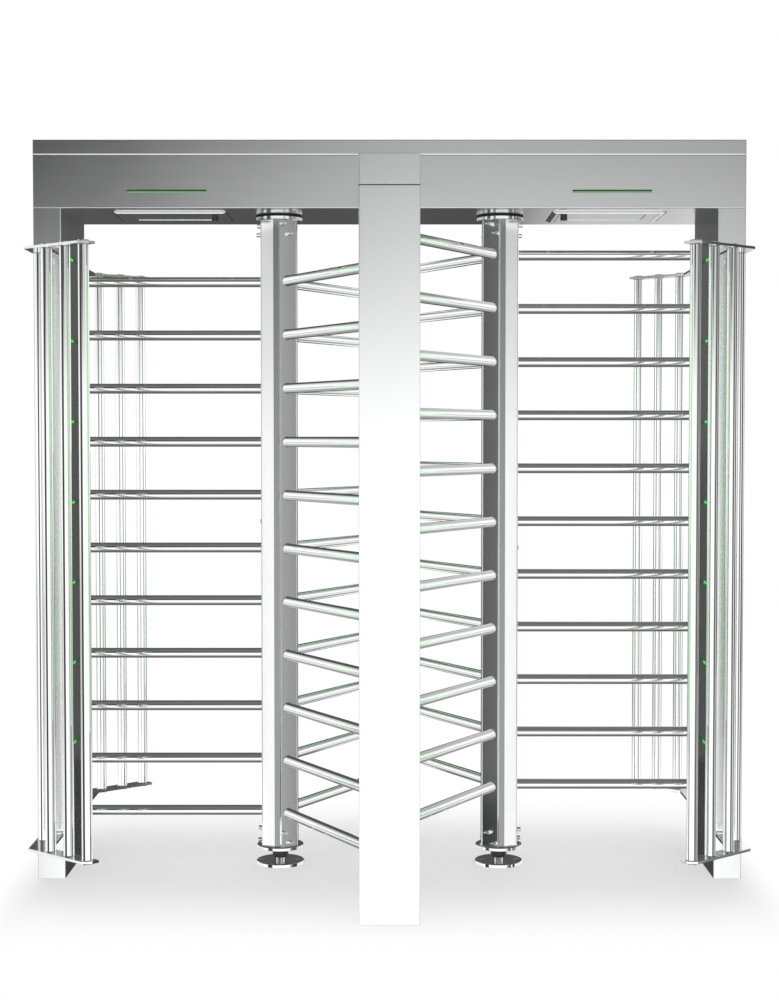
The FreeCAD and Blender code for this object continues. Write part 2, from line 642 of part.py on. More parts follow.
def lock_pawl(name, side, end):
    """Make a pawl about its pivot: the nose reaches back to the wheel, the tail out to its magnet."""
    x = f"{side} * ({AXIS_X} - pawl_x)"
    piece = Piece(name, x, f"{end} * pawl_y", f"{WHEEL_LOW} + (wheel_thickness - pawl_thickness) / 2")
    tip = "(wheel_radius + pawl_clear - pawl_y)"
    root = f"({tip} + nose_length)"
    outline = [
        ("0", "0 - pawl_boss"), ("0 - pawl_x + nose_root / 2", root),
        ("0 - pawl_x + nose_width / 2", tip), ("0 - pawl_x - nose_width / 2", tip),
        ("0 - pawl_x - nose_root / 2", root), ("0 - pawl_x - nose_root / 2", "pawl_back"),
        ("0", "pawl_boss"), ("pawl_tail - 2 * tail_half", "tail_half * 0.7"),
        ("pawl_tail - 2 * tail_half", "tail_half"), ("pawl_tail", "tail_half"),
        ("pawl_tail", "0 - tail_half"), ("pawl_tail - 2 * tail_half", "0 - tail_half"),
    ]
    lever = piece.sketch("XY_Plane")
    polygon(lever, [(f"{-side} * ({px})", f"{end} * ({py})") for px, py in outline])
    piece.pad(lever, "pawl_thickness")
    boss = piece.sketch("XY_Plane")
    circle(boss, "(2 * pawl_boss)")
    piece.pad(boss, "pawl_thickness")
    eye = piece.sketch("XY_Plane", ("0", "0", "pawl_thickness"))
    circle(eye, "(pawl_pin + 2 * running_gap)")
    piece.pocket(eye, "2 * pawl_thickness")


def pawl_places():
    return [(side, end) for side in SIDES.values() for end in ENDS.values()]


def turned_group(name, outline):
    """Make the same turned solid at all four pawl pivots."""
    piece = Piece(name)
    for side, end in pawl_places():
        across = f"{side} * ({AXIS_X} - pawl_x)"
        section = piece.sketch("XZ_Plane", (across, "0", f"0 - {end} * pawl_y"))
        polygon(section, outline)
        piece.turned(section)


def magnets():
    """Make the four lock magnets: a coil block on a foot, with a round pole that faces the pawl's tail."""
    piece = Piece("lock_magnets")
    reach = "(pawl_tail * sin(pawl_stroke * 1 deg) + tail_half * cos(pawl_stroke * 1 deg) + pivot_play)"
    middle = f"({WHEEL_LOW} + wheel_thickness / 2)"
    for side, end in pawl_places():
        x = f"{side} * ({AXIS_X} - pawl_x - pawl_tail + tail_half)"
        pole_face = f"(pawl_y + {reach})"
        block_face = f"({pole_face} + magnet_pole_reach)"
        block = piece.sketch("XY_Plane", ("0", "0", f"{middle} - magnet_z / 2"))
        centred(block, "magnet_x", "magnet_y", x, f"{end} * ({block_face} + magnet_y / 2)")
        piece.pad(block, "magnet_z")
        foot = piece.sketch("XY_Plane", ("0", "0", CARRIER_TOP))
        centred(foot, "(magnet_x * 0.7)", "(magnet_y * 0.7)", x, f"{end} * ({block_face} + magnet_y / 2)")
        piece.pad(foot, f"{middle} - magnet_z / 2 - {CARRIER_TOP}")
        pole = piece.sketch("XZ_Plane", ("0", "0", f"0 - {end} * {pole_face}"))
        circle(pole, "magnet_pole", x, middle)
        piece.pad(pole, "magnet_pole_reach", reverse=end > 0)


def mechanism():
    for name, side in SIDES.items():
        x = f"{side} * {AXIS_X}"
        carrier = Piece(f"{name}_carrier_plate", x, "0", f"{SOFFIT} + sheet")
        plate = carrier.sketch("XY_Plane")
        centred(plate, "carrier_length", "(beam_depth - 2 * carrier_inset)")
        circle(plate, "shaft_hole")
        carrier.pad(plate, "carrier_plate")
        seat = "(bearing_outer / 2 + running_gap)"
        lathe(f"{name}_bearing_housing", [
            ("shaft_hole / 2", CARRIER_TOP), ("housing_flange / 2", CARRIER_TOP),
            ("housing_flange / 2", f"{CARRIER_TOP} + housing_base"),
            ("housing_outer / 2", f"{CARRIER_TOP} + housing_base"),
            ("housing_outer / 2", f"{CARRIER_TOP} + housing_height"),
            (seat, f"{CARRIER_TOP} + housing_height"), (seat, BEARING_LOW), ("shaft_hole / 2", BEARING_LOW),
        ], x)
        for end_name, end in ENDS.items():
            lock_pawl(f"{name}_pawl_{end_name}", side, end)
    bearings = Piece("top_bearings", z=BEARING_LOW)
    ring = bearings.sketch("XY_Plane")
    for side in SIDES.values():
        circle(ring, "bearing_outer", f"{side} * {AXIS_X}")
        circle(ring, "(shaft_seat + 2 * running_gap)", f"{side} * {AXIS_X}")
    bearings.pad(ring, "bearing_width")
    pawl_low = f"({WHEEL_LOW} + (wheel_thickness - pawl_thickness) / 2)"
    spring_low = f"({pawl_low} + pawl_thickness + pivot_play)"
    pin_top = f"({spring_low} + spring_height + pin_spare)"
    turned_group("pawl_pins", [
        ("0", CARRIER_TOP), ("pin_shoulder / 2", CARRIER_TOP),
        ("pin_shoulder / 2", f"{pawl_low} - pivot_play"),
        ("pawl_pin / 2", f"{pawl_low} - pivot_play"), ("pawl_pin / 2", pin_top), ("0", pin_top),
    ])
    turned_group("pawl_springs", [
        ("pawl_pin / 2 + running_gap", spring_low), ("spring_outer / 2", spring_low),
        ("spring_outer / 2", f"{spring_low} + spring_height"),
        ("pawl_pin / 2 + running_gap", f"{spring_low} + spring_height"),
    ])
    magnets()
    controller = Piece("control_unit", z=f"{SOFFIT} + sheet")
    case = controller.sketch("XY_Plane")
    centred(case, "controller_x", "controller_y")
    controller.pad(case, "controller_z")


def floor_screws():
    """Make the countersunk screws of both floor discs, and sink their seats into the discs."""
    screws = Piece("floor_pivot_screws")
    clear = "(disc_screw / 2 + weld_gap)"
    for name, side in SIDES.items():
        disc = doc.getObject(f"{name}_rotor_floor_pivot")
        seats = []
        for across, along in ((1, 0), (0, 1), (-1, 0), (0, -1)):
            x = f"({side} * {AXIS_X} + {across} * disc_screw_circle / 2)"
            y = f"({along} * disc_screw_circle / 2)"
            section = screws.sketch("XZ_Plane", (x, "0", f"0 - {y}"))
            polygon(section, [
                ("0", "0.5"), ("disc_screw / 2", "0.5"),
                ("disc_screw / 2", "disc_thickness - disc_screw_head / 4"),
                ("disc_screw_head / 2", "disc_thickness - 0.5"), ("0", "disc_thickness - 0.5"),
            ])
            screws.turned(section)
            seats.append((across, along))
        sink_seats(disc, seats, clear)


def sink_seats(disc, seats, clear):
    """Cut the countersunk seats of the screws out of a floor disc."""
    origin = {feature.Role: feature for feature in disc.Origin.OriginFeatures}
    for across, along in seats:
        drawing = disc.newObject("Sketcher::SketchObject", "Seat")
        drawing.AttachmentSupport = [(origin["XZ_Plane"], "")]
        drawing.MapMode = "FlatFace"
        bind(drawing, "AttachmentOffset.Base.x", f"{across} * disc_screw_circle / 2")
        bind(drawing, "AttachmentOffset.Base.z", f"0 - {along} * disc_screw_circle / 2")
        polygon(drawing, [
            ("0", "0 - 1"), (clear, "0 - 1"), (clear, "disc_thickness - disc_screw_head / 4"),
            ("disc_screw_head / 2 + weld_gap", "disc_thickness - 0.5"),
            ("disc_screw_head / 2 + weld_gap", "disc_thickness + 1"), ("0", "disc_thickness + 1"),
        ])
        seat = disc.newObject("PartDesign::Groove", "Countersink")
        seat.Profile = drawing
        seat.ReferenceAxis = (drawing, ["V_Axis"])
        seat.Angle = 360


# Service covers: a bevelled cover under the beam beside each rotor, held by two tongues and a lock

def service_cover(name, side):
    piece = Piece(f"{name}_service_cover", z=SOFFIT)
    outline = piece.sketch("XY_Plane")
    rectangle(outline, f"{side} * {COVER_INNER}", "cover_front_y", f"{side} * {COVER_OUTER}", "cover_rear_y")
    plate = piece.pad(outline, "cover_drop", reverse=True)
    bevel(piece, plate)
    rim = piece.sketch("XY_Plane")
    inset = "(cover_lap + cover_fit)"
    for step in ("0", "cover_rim"):
        rectangle(rim, f"{side} * ({COVER_INNER} + {inset} + {step})", f"cover_front_y + {inset} + {step}",
                  f"{side} * ({COVER_OUTER} - {inset} - {step})", f"cover_rear_y - {inset} - {step}")
    piece.pad(rim, "sheet")
    for level in ("cover_front_y * 0.5", "cover_rear_y * 0.5"):
        tongue = piece.sketch("XY_Plane", ("0", "0", "sheet"))
        rectangle(tongue, f"{side} * ({COVER_OUTER} - {inset} - cover_rim)", f"{level} - tongue_width / 2",
                  f"{side} * ({COVER_OUTER} - {inset} + tongue_reach)", f"{level} + tongue_width / 2")
        piece.pad(tongue, "tongue_sheet")
    recess = piece.sketch("XY_Plane", ("0", "0", "0 - cover_drop"))
    rectangle(recess, f"{side} * ({COVER_INNER} + recess_inner)", "cover_front_y + recess_front",
              f"{side} * ({COVER_OUTER} - recess_outer)", "cover_rear_y - recess_rear")
    for groove in (f"({COVER_INNER} + groove_inset)", f"({COVER_OUTER} - groove_inset)"):
        rectangle(recess, f"{side} * ({groove} - groove_width / 2)", "cover_front_y - 1",
                  f"{side} * ({groove} + groove_width / 2)", "cover_rear_y + 1")
    piece.pocket(recess, "recess_depth", reverse=True)
    eye = piece.sketch("XY_Plane", ("0", "0", "sheet"))
    circle(eye, "(lock_diameter + 2 * running_gap)", f"{side} * {COVER_LOCK_X}", "lock_y")
    piece.pocket(eye, "sheet + 2 * cover_drop")


def bevel(piece, plate):
    """Slope the lower edges of a cover's two short ends."""
    doc.recompute()
    bounds = plate.Shape.BoundBox
    names = []
    for number, edge in enumerate(plate.Shape.Edges, 1):
        ends = [vertex.Point for vertex in edge.Vertexes]
        if at_floor(*ends, bounds) and abs(ends[0].x - ends[1].x) < 0.01:
            names.append(f"Edge{number}")
    feature = piece.body.newObject("PartDesign::Chamfer", "Bevel")
    feature.Base = (plate, names)
    feature.ChamferType = "Two distances"
    feature.FlipDirection = True
    bind(feature, "Size", "cover_bevel")
    bind(feature, "Size2", "cover_drop - 1")


def cover_lock(name, side):
    """Make the lock: a barrel with a key slot below and a cam that lies over the edge of the opening."""
    piece = Piece(f"{name}_cover_lock", f"{side} * {COVER_LOCK_X}", "lock_y", SOFFIT)
    barrel = piece.sketch("XY_Plane", ("0", "0", "0 - cover_drop - lock_proud"))
    circle(barrel, "lock_diameter")
    piece.pad(barrel, "cover_drop + lock_proud + sheet + pivot_play")
    cam = piece.sketch("XY_Plane", ("0", "0", "sheet + pivot_play"))
    rectangle(cam, f"{side} * cam_width / 2", "0 - cam_width / 2",
              f"0 - {side} * cam_reach", "cam_width / 2")
    piece.pad(cam, "cam_sheet")
    slot = piece.sketch("XY_Plane", ("0", "0", "0 - cover_drop - lock_proud"))
    centred(slot, "key_slot", "key_slot_width")
    piece.pocket(slot, "3", reverse=True)


def write_pieces():
    """Check every object of the document, then write each piece to its own file."""
    doc.recompute()
    for thing in doc.Objects:
        faults = {"Invalid", "Error"} & set(thing.State)
        if faults:
            raise RuntimeError(f"{thing.Label} is {faults}: {thing.getStatusString()}")
    os.makedirs("parts", exist_ok=True)
    bodies = [thing for thing in doc.Objects if thing.TypeId == "PartDesign::Body"]
    for body in bodies:
        if body.Shape.isNull() or not body.Shape.isValid():
            raise RuntimeError(f"{body.Label} has no valid shape")
    for body in bodies:
        body.Shape.exportStep(f"parts/{body.Label}.step")
        print(f"{body.Label}: {len(body.Shape.Solids)} solids, {body.Shape.Volume / 1000:.1f} cm3")


fill_sheet()
portal()
lights()
guard_racks()
for side_name, side_sign in SIDES.items():
    rotor(f"{side_name}_rotor", side_sign)
    service_cover(side_name, side_sign)
    cover_lock(side_name, side_sign)
mechanism()
floor_screws()
write_pieces()
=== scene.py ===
import math

import bmesh
import bpy
from bpy.props import FloatProperty, FloatVectorProperty, PointerProperty
from mathutils import Matrix, Vector


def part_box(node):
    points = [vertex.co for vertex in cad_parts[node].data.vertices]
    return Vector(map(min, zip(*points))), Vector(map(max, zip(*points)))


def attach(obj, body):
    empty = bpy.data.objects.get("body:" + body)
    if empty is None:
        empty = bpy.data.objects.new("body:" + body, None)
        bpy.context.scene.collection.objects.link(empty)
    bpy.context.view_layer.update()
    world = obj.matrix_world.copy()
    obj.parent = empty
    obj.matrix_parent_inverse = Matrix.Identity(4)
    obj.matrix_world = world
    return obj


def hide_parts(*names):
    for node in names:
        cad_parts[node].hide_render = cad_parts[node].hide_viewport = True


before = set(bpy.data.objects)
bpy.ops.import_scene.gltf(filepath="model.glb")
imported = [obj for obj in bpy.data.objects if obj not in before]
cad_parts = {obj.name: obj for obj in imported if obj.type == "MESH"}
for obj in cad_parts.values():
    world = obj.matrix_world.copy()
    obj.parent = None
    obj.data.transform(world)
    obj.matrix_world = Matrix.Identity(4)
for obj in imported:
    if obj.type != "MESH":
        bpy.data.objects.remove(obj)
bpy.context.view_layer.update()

bl_info = {
    "name": "Full height turnstile dressing",
    "version": (1, 0, 0),
    "blender": (4, 5, 0),
    "location": "3D View > Sidebar > Turnstile",
    "description": "Finishes, welds, lights and studio for a full height turnstile",
    "category": "Object",
}

SIDES = {"left": -1, "right": 1}
ENDS = ("front", "rear")
WINGS = ("outer", "front", "rear")
RACKS = ("front_left", "front_right", "rear_left", "rear_right")

NOISE_LOW, NOISE_HIGH = 0.3, 0.7  # most values of a noise pattern lie between these
SUNK = 0.0002  # how deep a strip sits in the sheet that carries it
LIGHT_LIP = 0.005  # how far a light guide reaches behind the edge of its slot

# The two sides of the sunk band in a post's first joint, and the way it faces, from the rotor's axis
BAND_START = Vector((0.0599, 0.0168, 0))
BAND_END = Vector((0.0511, 0.03205, 0))
BAND_OUT = Vector((math.cos(math.pi / 6), math.sin(math.pi / 6), 0))

# The ribbed sleeve round the neck under a bottom flange, as pairs of radius and height
SLEEVE_OUTLINE = [
    (0.0246, 0.0002), (0.0258, 0.0002), (0.0262, 0.006), (0.0271, 0.008), (0.0266, 0.01), (0.0272, 0.016),
    (0.0281, 0.018), (0.0276, 0.02), (0.0283, 0.027), (0.0296, 0.0336), (0.0284, 0.0336),
]


# Settings that a user would change

class StudioSettings(bpy.types.PropertyGroup):
    """Camera, floor and light"""

    camera_distance: FloatProperty(
        name="Camera distance", description="How far the camera stands in front of the rotor axes",
        default=5.7974, unit="LENGTH")
    camera_height: FloatProperty(
        name="Camera height", description="Height of the camera over the floor",
        default=1.4478, unit="LENGTH")
    camera_pitch: FloatProperty(
        name="Camera pitch", description="How far the camera looks down",
        default=math.radians(2.141), subtype="ANGLE")
    lens: FloatProperty(
        name="Lens", description="Focal length of the camera in millimetres",
        default=62.0, min=10, max=300)
    floor_colour: FloatVectorProperty(
        name="Floor colour", description="Colour of the studio floor",
        default=(0.95, 0.95, 0.95), size=3, min=0, max=1, subtype="COLOR")
    softness: FloatProperty(
        name="Ambient light", description="Strength of the even light from all round",
        default=0.9, min=0, max=2)


class FinishSettings(bpy.types.PropertyGroup):
    """Colours and finishes"""

    sheet_colour: FloatVectorProperty(
        name="Sheet colour", description="Colour of the satin stainless sheet",
        default=(0.84, 0.85, 0.845), size=3, min=0, max=1, subtype="COLOR")
    sheet_roughness: FloatProperty(
        name="Sheet roughness", description="How blurred the sheet reflects",
        default=0.17, min=0, max=1, subtype="FACTOR")
    tube_colour: FloatVectorProperty(
        name="Tube colour", description="Colour of the polished stainless tubes",
        default=(0.9, 0.91, 0.905), size=3, min=0, max=1, subtype="COLOR")
    tube_roughness: FloatProperty(
        name="Tube roughness", description="How blurred the tubes reflect",
        default=0.06, min=0, max=1, subtype="FACTOR")
    light_colour: FloatVectorProperty(
        name="Light colour", description="Colour of the lit guide lights",
        default=(0.03, 0.62, 0.06), size=3, min=0, max=1, subtype="COLOR")
    light_strength: FloatProperty(
        name="Light strength", description="How bright the guide lights shine",
        default=1.2, min=0, max=20)
    edge_radius: FloatProperty(
        name="Edge radius", description="Rounding that catches light along sheet edges",
        default=0.0012, min=0, max=0.01, unit="LENGTH")


class PieceSettings(bpy.types.PropertyGroup):
    """Sizes of the pieces that the scene adds"""

    weld_leg: FloatProperty(
        name="Weld leg", description="Width of the weld round each arm",
        default=0.0018, min=0.001, max=0.01, unit="LENGTH")
    rack_weld_leg: FloatProperty(
        name="Rack weld leg", description="Width of the weld round each guard tube",
        default=0.0028, min=0.001, max=0.01, unit="LENGTH")
    # The seal is black also to paint the shadow in the gap round a service cover
    seal_and_shadow_width: FloatProperty(
        name="Gasket width", description="Width of the rubber seal round a service cover",
        default=0.0022, min=0.0005, max=0.01, unit="LENGTH")
    # The ring is dark to paint the shadow in the running gap between a rotor and the beam
    gap_shade_height: FloatProperty(
        name="Gap ring height", description="Height of the felt ring between a rotor and the beam",
        default=0.0052, min=0.001, max=0.02, unit="LENGTH")
    rim_width: FloatProperty(
        name="Light rim width", description="Width of the diffuser rim round a light",
        default=0.0022, min=0.0005, max=0.01, unit="LENGTH")
    # The strip is dark to paint the shadow in the joint between a cross arm and its column
    seam_shadow_height: FloatProperty(
        name="Seam height", description="Height of the dark joint between a cross arm and its column",
        default=0.0045, min=0.0005, max=0.01, unit="LENGTH")
    fold_height: FloatProperty(
        name="Lid fold height", description="Height of the bright folded edge under the beam's lid",
        default=0.0024, min=0.0005, max=0.01, unit="LENGTH")
    bolt_reach: FloatProperty(
        name="Bolt head height", description="How far a bolt head stands off the post",
        default=0.015, min=0.005, max=0.03, unit="LENGTH")


# Shader building

def add(tree, kind, feeds=None, **options):
    """Add a node, set its options, and feed its inputs with plain values or other nodes' outputs."""
    node = tree.nodes.new(kind)
    for option, value in options.items():
        setattr(node, option, value)
    for socket, value in (feeds or {}).items():
        if isinstance(value, bpy.types.NodeSocket):
            tree.links.new(value, node.inputs[socket])
        else:
            node.inputs[socket].default_value = value
    return node


def ramp(tree, factor, stops):
    """Turn a factor into greys or colours that change at the given stops."""
    node = add(tree, "ShaderNodeValToRGB", {"Fac": factor})
    elements = node.color_ramp.elements
    while len(elements) < len(stops):
        elements.new(0.5)
    for element, (position, shade) in zip(elements, stops):
        colour = (shade, shade, shade) if isinstance(shade, (int, float)) else shade
        element.position = position
        element.color = (*colour, 1)
    return node.outputs["Color"]


def spread(tree, value, low, high, lowest, highest):
    """Map a value from one range to another, clamped."""
    node = add(tree, "ShaderNodeMapRange", {
        "Value": value, "From Min": low, "From Max": high, "To Min": lowest, "To Max": highest})
    return node.outputs["Result"]


def grain(tree, scale, detail, roughness=0.6):
    """Noise in the part's own metres, with one scale for all axes or one for each."""
    if isinstance(scale, (int, float)):
        scale = (scale, scale, scale)
    spot = add(tree, "ShaderNodeTexCoord").outputs["Object"]
    stretched = add(tree, "ShaderNodeMapping", {"Vector": spot, "Scale": scale}).outputs["Vector"]
    noise = add(tree, "ShaderNodeTexNoise", {
        "Vector": stretched, "Scale": 1, "Detail": detail, "Roughness": roughness})
    return noise.outputs["Fac"]


def tinted(colour, factor):
    """A colour made brighter or darker by a factor."""
    return tuple(min(1, channel * factor) for channel in colour)


def mottled(tree, noise, colour, dark, bright, high=NOISE_HIGH):
    """A colour that a noise pattern makes darker and brighter by two factors."""
    return ramp(tree, noise, [(NOISE_LOW, tinted(colour, dark)), (high, tinted(colour, bright))])


def new_material(name):
    """A new material with its node tree and its shader."""
    material = bpy.data.materials.new(name)
    material.use_nodes = True
    tree = material.node_tree
    return material, tree, tree.nodes["Principled BSDF"]


def rounded_normal(tree, radius):
    """A normal that rounds sharp edges, and how strongly each point belongs to an edge."""
    level, edge_on = 0.995, 0.8  # how far the two normals agree on a plain face and on an edge
    bevel = add(tree, "ShaderNodeBevel", {"Radius": radius}, samples=4)
    surface = add(tree, "ShaderNodeNewGeometry").outputs["Normal"]
    turn = add(tree, "ShaderNodeVectorMath", {0: bevel.outputs[0], 1: surface}, operation="DOT_PRODUCT")
    return bevel.outputs[0], spread(tree, turn.outputs["Value"], level, edge_on, 0, 1)


def finish_surface(tree, shader, height, distance, strength, normal=None):
    """Give the shader a bump from a height pattern, over an optional rounded normal."""
    feeds = {"Height": height, "Distance": distance, "Strength": strength}
    if normal is not None:
        feeds["Normal"] = normal
    tree.links.new(add(tree, "ShaderNodeBump", feeds).outputs[0], shader.inputs["Normal"])


def blended(tree, factor, first, second):
    """Mix two colours, where each is a plain colour or another node's output."""
    node = add(tree, "ShaderNodeMix", {0: factor}, data_type="RGBA")
    for socket, colour in ((6, first), (7, second)):  # the node's two colour inputs
        if isinstance(colour, bpy.types.NodeSocket):
            tree.links.new(colour, node.inputs[socket])
        else:
            node.inputs[socket].default_value = (*colour, 1)
    return node.outputs[2]


def sheet_metal(name, colour, roughness, along, radius, marks=3.0):
    """Satin stainless sheet with rolling grain along one axis, faint handling marks and rubbed edges."""
    material, tree, shader = new_material(name)
    shader.inputs["Metallic"].default_value = 1
    fine, coarse = 620, 3
    lines = grain(tree, tuple(coarse if axis == along else fine for axis in "xyz"), detail=5)
    cloud = grain(tree, marks, detail=6, roughness=0.62)
    normal, edge = rounded_normal(tree, radius)
    body = mottled(tree, lines, colour, 0.985, 1.01)
    tree.links.new(blended(tree, edge, body, tinted(colour, 1.1)), shader.inputs["Base Color"])
    rough = spread(tree, cloud, NOISE_LOW, 0.75, roughness * 0.93, roughness * 1.08)
    streaks = spread(tree, lines, NOISE_LOW, NOISE_HIGH, -0.012, 0.012)
    total = add(tree, "ShaderNodeMath", {0: rough, 1: streaks}, operation="ADD").outputs[0]
    tree.links.new(total, shader.inputs["Roughness"])
    finish_surface(tree, shader, lines, distance=0.00001, strength=0.2, normal=normal)
    return material


def polished_metal(name, colour, roughness, smear=45.0):
    """Polished stainless with faint wipe marks that blur the reflection unevenly."""
    material, tree, shader = new_material(name)
    shader.inputs["Metallic"].default_value = 1
    fine = grain(tree, 900, detail=3)
    wipe = grain(tree, (smear, smear, smear * 0.3), detail=4)
    tree.links.new(mottled(tree, wipe, colour, 0.985, 1.01), shader.inputs["Base Color"])
    rough = spread(tree, wipe, NOISE_LOW, 0.75, roughness * 0.9, roughness * 1.15)
    tree.links.new(rough, shader.inputs["Roughness"])
    finish_surface(tree, shader, fine, distance=0.000002, strength=0.1)
    return material


def turned_metal(name, colour, roughness, radius):
    """Machined steel with the fine rings that a lathe leaves round each rotor's axis."""
    material, tree, shader = new_material(name)
    shader.inputs["Metallic"].default_value = 1
    spot = add(tree, "ShaderNodeTexCoord").outputs["Object"]
    parts = add(tree, "ShaderNodeSeparateXYZ", {0: spot})
    axis_x = abs(rotor_axis("left_rotor").x)
    side_x = add(tree, "ShaderNodeMath", {0: parts.outputs[0]}, operation="ABSOLUTE").outputs[0]
    across = add(tree, "ShaderNodeMath", {0: side_x, 1: axis_x}, operation="SUBTRACT").outputs[0]
    flat = add(tree, "ShaderNodeCombineXYZ", {0: across, 1: parts.outputs[1]})
    distance = add(tree, "ShaderNodeVectorMath", {0: flat.outputs[0]}, operation="LENGTH").outputs["Value"]
    ringed = add(tree, "ShaderNodeCombineXYZ", {0: distance, 2: parts.outputs[2]})
    rings = add(tree, "ShaderNodeTexNoise", {
        "Vector": ringed.outputs[0], "Scale": 1100, "Detail": 3, "Roughness": 0.6}).outputs["Fac"]
    normal, edge = rounded_normal(tree, radius)
    body = mottled(tree, rings, colour, 0.94, 1.03)
    tree.links.new(blended(tree, edge, body, tinted(colour, 1.15)), shader.inputs["Base Color"])
    rough = spread(tree, rings, NOISE_LOW, NOISE_HIGH, roughness * 0.8, roughness * 1.3)
    tree.links.new(rough, shader.inputs["Roughness"])
    finish_surface(tree, shader, rings, distance=0.00003, strength=0.4, normal=normal)
    return material


def weld_metal(name, colour):
    """Ground weld: brighter and rougher than the sheet, with small uneven scales."""
    material, tree, shader = new_material(name)
    shader.inputs["Metallic"].default_value = 1
    scales = grain(tree, 420, detail=3)
    tree.links.new(mottled(tree, scales, colour, 0.85, 1.05), shader.inputs["Base Color"])
    tree.links.new(spread(tree, scales, NOISE_LOW, NOISE_HIGH, 0.2, 0.38), shader.inputs["Roughness"])
    finish_surface(tree, shader, scales, distance=0.0004, strength=0.6)
    return material


def moulded_plastic(name, colour, roughness, texture=900.0):
    """Matt plastic with a fine moulded texture and slight wear."""
    material, tree, shader = new_material(name)
    fine = grain(tree, texture, detail=3, roughness=0.5)
    cloud = grain(tree, 25, detail=5)
    tree.links.new(mottled(tree, cloud, colour, 0.85, 1.2, high=0.75), shader.inputs["Base Color"])
    rough = spread(tree, cloud, NOISE_LOW, NOISE_HIGH, roughness * 0.85, roughness * 1.15)
    tree.links.new(rough, shader.inputs["Roughness"])
    finish_surface(tree, shader, fine, distance=0.00008, strength=0.5)
    return material


def lit_lens(name, colour, strength, fade):
    """A light guide whose glow runs along one axis between two places, from full to faint."""
    material, tree, shader = new_material(name)
    spot = add(tree, "ShaderNodeTexCoord").outputs["Object"]
    parts = add(tree, "ShaderNodeSeparateXYZ", {0: spot})
    axis, full, faint = fade
    glow = spread(tree, parts.outputs["XYZ".index(axis)], full, faint, 1, 0.08)
    ribs = grain(tree, 900, detail=2, roughness=0.5)
    tree.links.new(ramp(tree, glow, [(0, tinted(colour, 0.01)), (1, colour)]),
                   shader.inputs["Emission Color"])
    tree.links.new(ramp(tree, glow, [(0, tinted(colour, 0.06)), (1, tinted(colour, 0.5))]),
                   shader.inputs["Base Color"])
    shader.inputs["Emission Strength"].default_value = strength
    tree.links.new(spread(tree, ribs, NOISE_LOW, NOISE_HIGH, 0.15, 0.3), shader.inputs["Roughness"])
    finish_surface(tree, shader, ribs, distance=0.00005, strength=0.3)
    return material


def dress(material, *nodes, mirrored=True):
    """Give CAD nodes a finish, and keep them out of other pieces' reflections where asked."""
    for node in nodes:
        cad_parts[node].visible_glossy = mirrored
        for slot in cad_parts[node].material_slots:
            slot.material = material


# Mesh building

def piece_from(name, build, material, body):
    """Make a mesh piece with a builder, give it its finish, and let it ride on a body."""
    mesh = bpy.data.meshes.new(name)
    shape = bmesh.new()
    build(shape)
    bmesh.ops.recalc_face_normals(shape, faces=shape.faces)
    shape.to_mesh(mesh)
    shape.free()
    piece = bpy.data.objects.new(name, mesh)
    bpy.context.scene.collection.objects.link(piece)
    mesh.materials.append(material)
    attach(piece, body)
    return piece


def smooth(piece):
    """Shade a whole piece smooth."""
    for face in piece.data.polygons:
        face.use_smooth = True


def smooth_round(piece):
    """Shade the round faces of a ring smooth and keep its corners sharp."""
    piece.data.set_sharp_from_angle(angle=math.radians(40))


def sweep_ring(shape, place, outline, steps):
    """Sweep a closed outline of pairs of radius and height round the local Z axis of a place."""
    rows = []
    for step in range(steps):
        angle = math.tau * step / steps
        turn = Matrix.Rotation(angle, 4, "Z")
        rows.append([shape.verts.new(place @ (turn @ Vector((radius, 0, height))))
                     for radius, height in outline])
    count = len(outline)
    for step in range(steps):
        here, there = rows[step], rows[(step + 1) % steps]
        for index in range(count):
            after = (index + 1) % count
            shape.faces.new((here[index], here[after], there[after], there[index]))


def bar_between(shape, near, far):
    """Close a straight bar between two outlines that have their points in the same order."""
    shape.faces.new(near)
    shape.faces.new(reversed(far))
    for index in range(len(near)):
        after = (index + 1) % len(near)
        shape.faces.new((near[index], near[after], far[after], far[index]))


def fillet_outline(radius, leg):
    """The section of a fillet weld against a tube, slightly hollow, with its root inside the metal."""
    root = 0.0006
    return [(radius - root, -root), (radius + leg, -root), (radius + leg, 0.0001),
            (radius + leg * 0.5, leg * 0.3), (radius + leg * 0.2, leg * 0.65), (radius, leg),
            (radius - root, leg)]


def facing(centre, direction):
    """A place whose local Z axis points in a direction."""
    return Matrix.Translation(centre) @ direction.to_track_quat("Z", "Y").to_matrix().to_4x4()


def loop_strip(shape, corners, width, low, high, flat):
    """Build a rectangular loop of strip outside two opposite corners, in the plane that flat maps to."""
    (x0, y0), (x1, y1) = corners
    rings = []
    for grow, level in ((0, low), (width, low), (width, high), (0, high)):
        left, right, near, far = x0 - grow, x1 + grow, y0 - grow, y1 + grow
        rings.append([shape.verts.new(flat(x, y, level)) for x, y in (
            (left, near), (right, near), (right, far), (left, far))])
    for index in range(4):
        inner, outer = rings[index], rings[(index + 1) % 4]
        for corner in range(4):
            after = (corner + 1) % 4
            shape.faces.new((inner[corner], inner[after], outer[after], outer[corner]))


def islands(node):
    """The boxes of the separate solids of a CAD node, from left to right."""
    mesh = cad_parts[node].data
    shape = bmesh.new()
    shape.from_mesh(mesh)
    bmesh.ops.remove_doubles(shape, verts=shape.verts, dist=1e-6)
    unseen = set(shape.verts)
    boxes = []
    while unseen:
        queue = [unseen.pop()]
        points = []
        while queue:
            vertex = queue.pop()
            points.append(vertex.co.copy())
            for edge in vertex.link_edges:
                other = edge.other_vert(vertex)
                if other in unseen:
                    unseen.discard(other)
                    queue.append(other)
        low = Vector([min(point[axis] for point in points) for axis in range(3)])
        high = Vector([max(point[axis] for point in points) for axis in range(3)])
        boxes.append((low, high))
    shape.free()
    return sorted(boxes, key=lambda box: tuple(box[0]))


def finishes():
    """The finish settings of the scene."""
    return bpy.context.scene.turnstile_finish


def sizes():
    """The piece settings of the scene."""
    return bpy.context.scene.turnstile_pieces


# Pieces

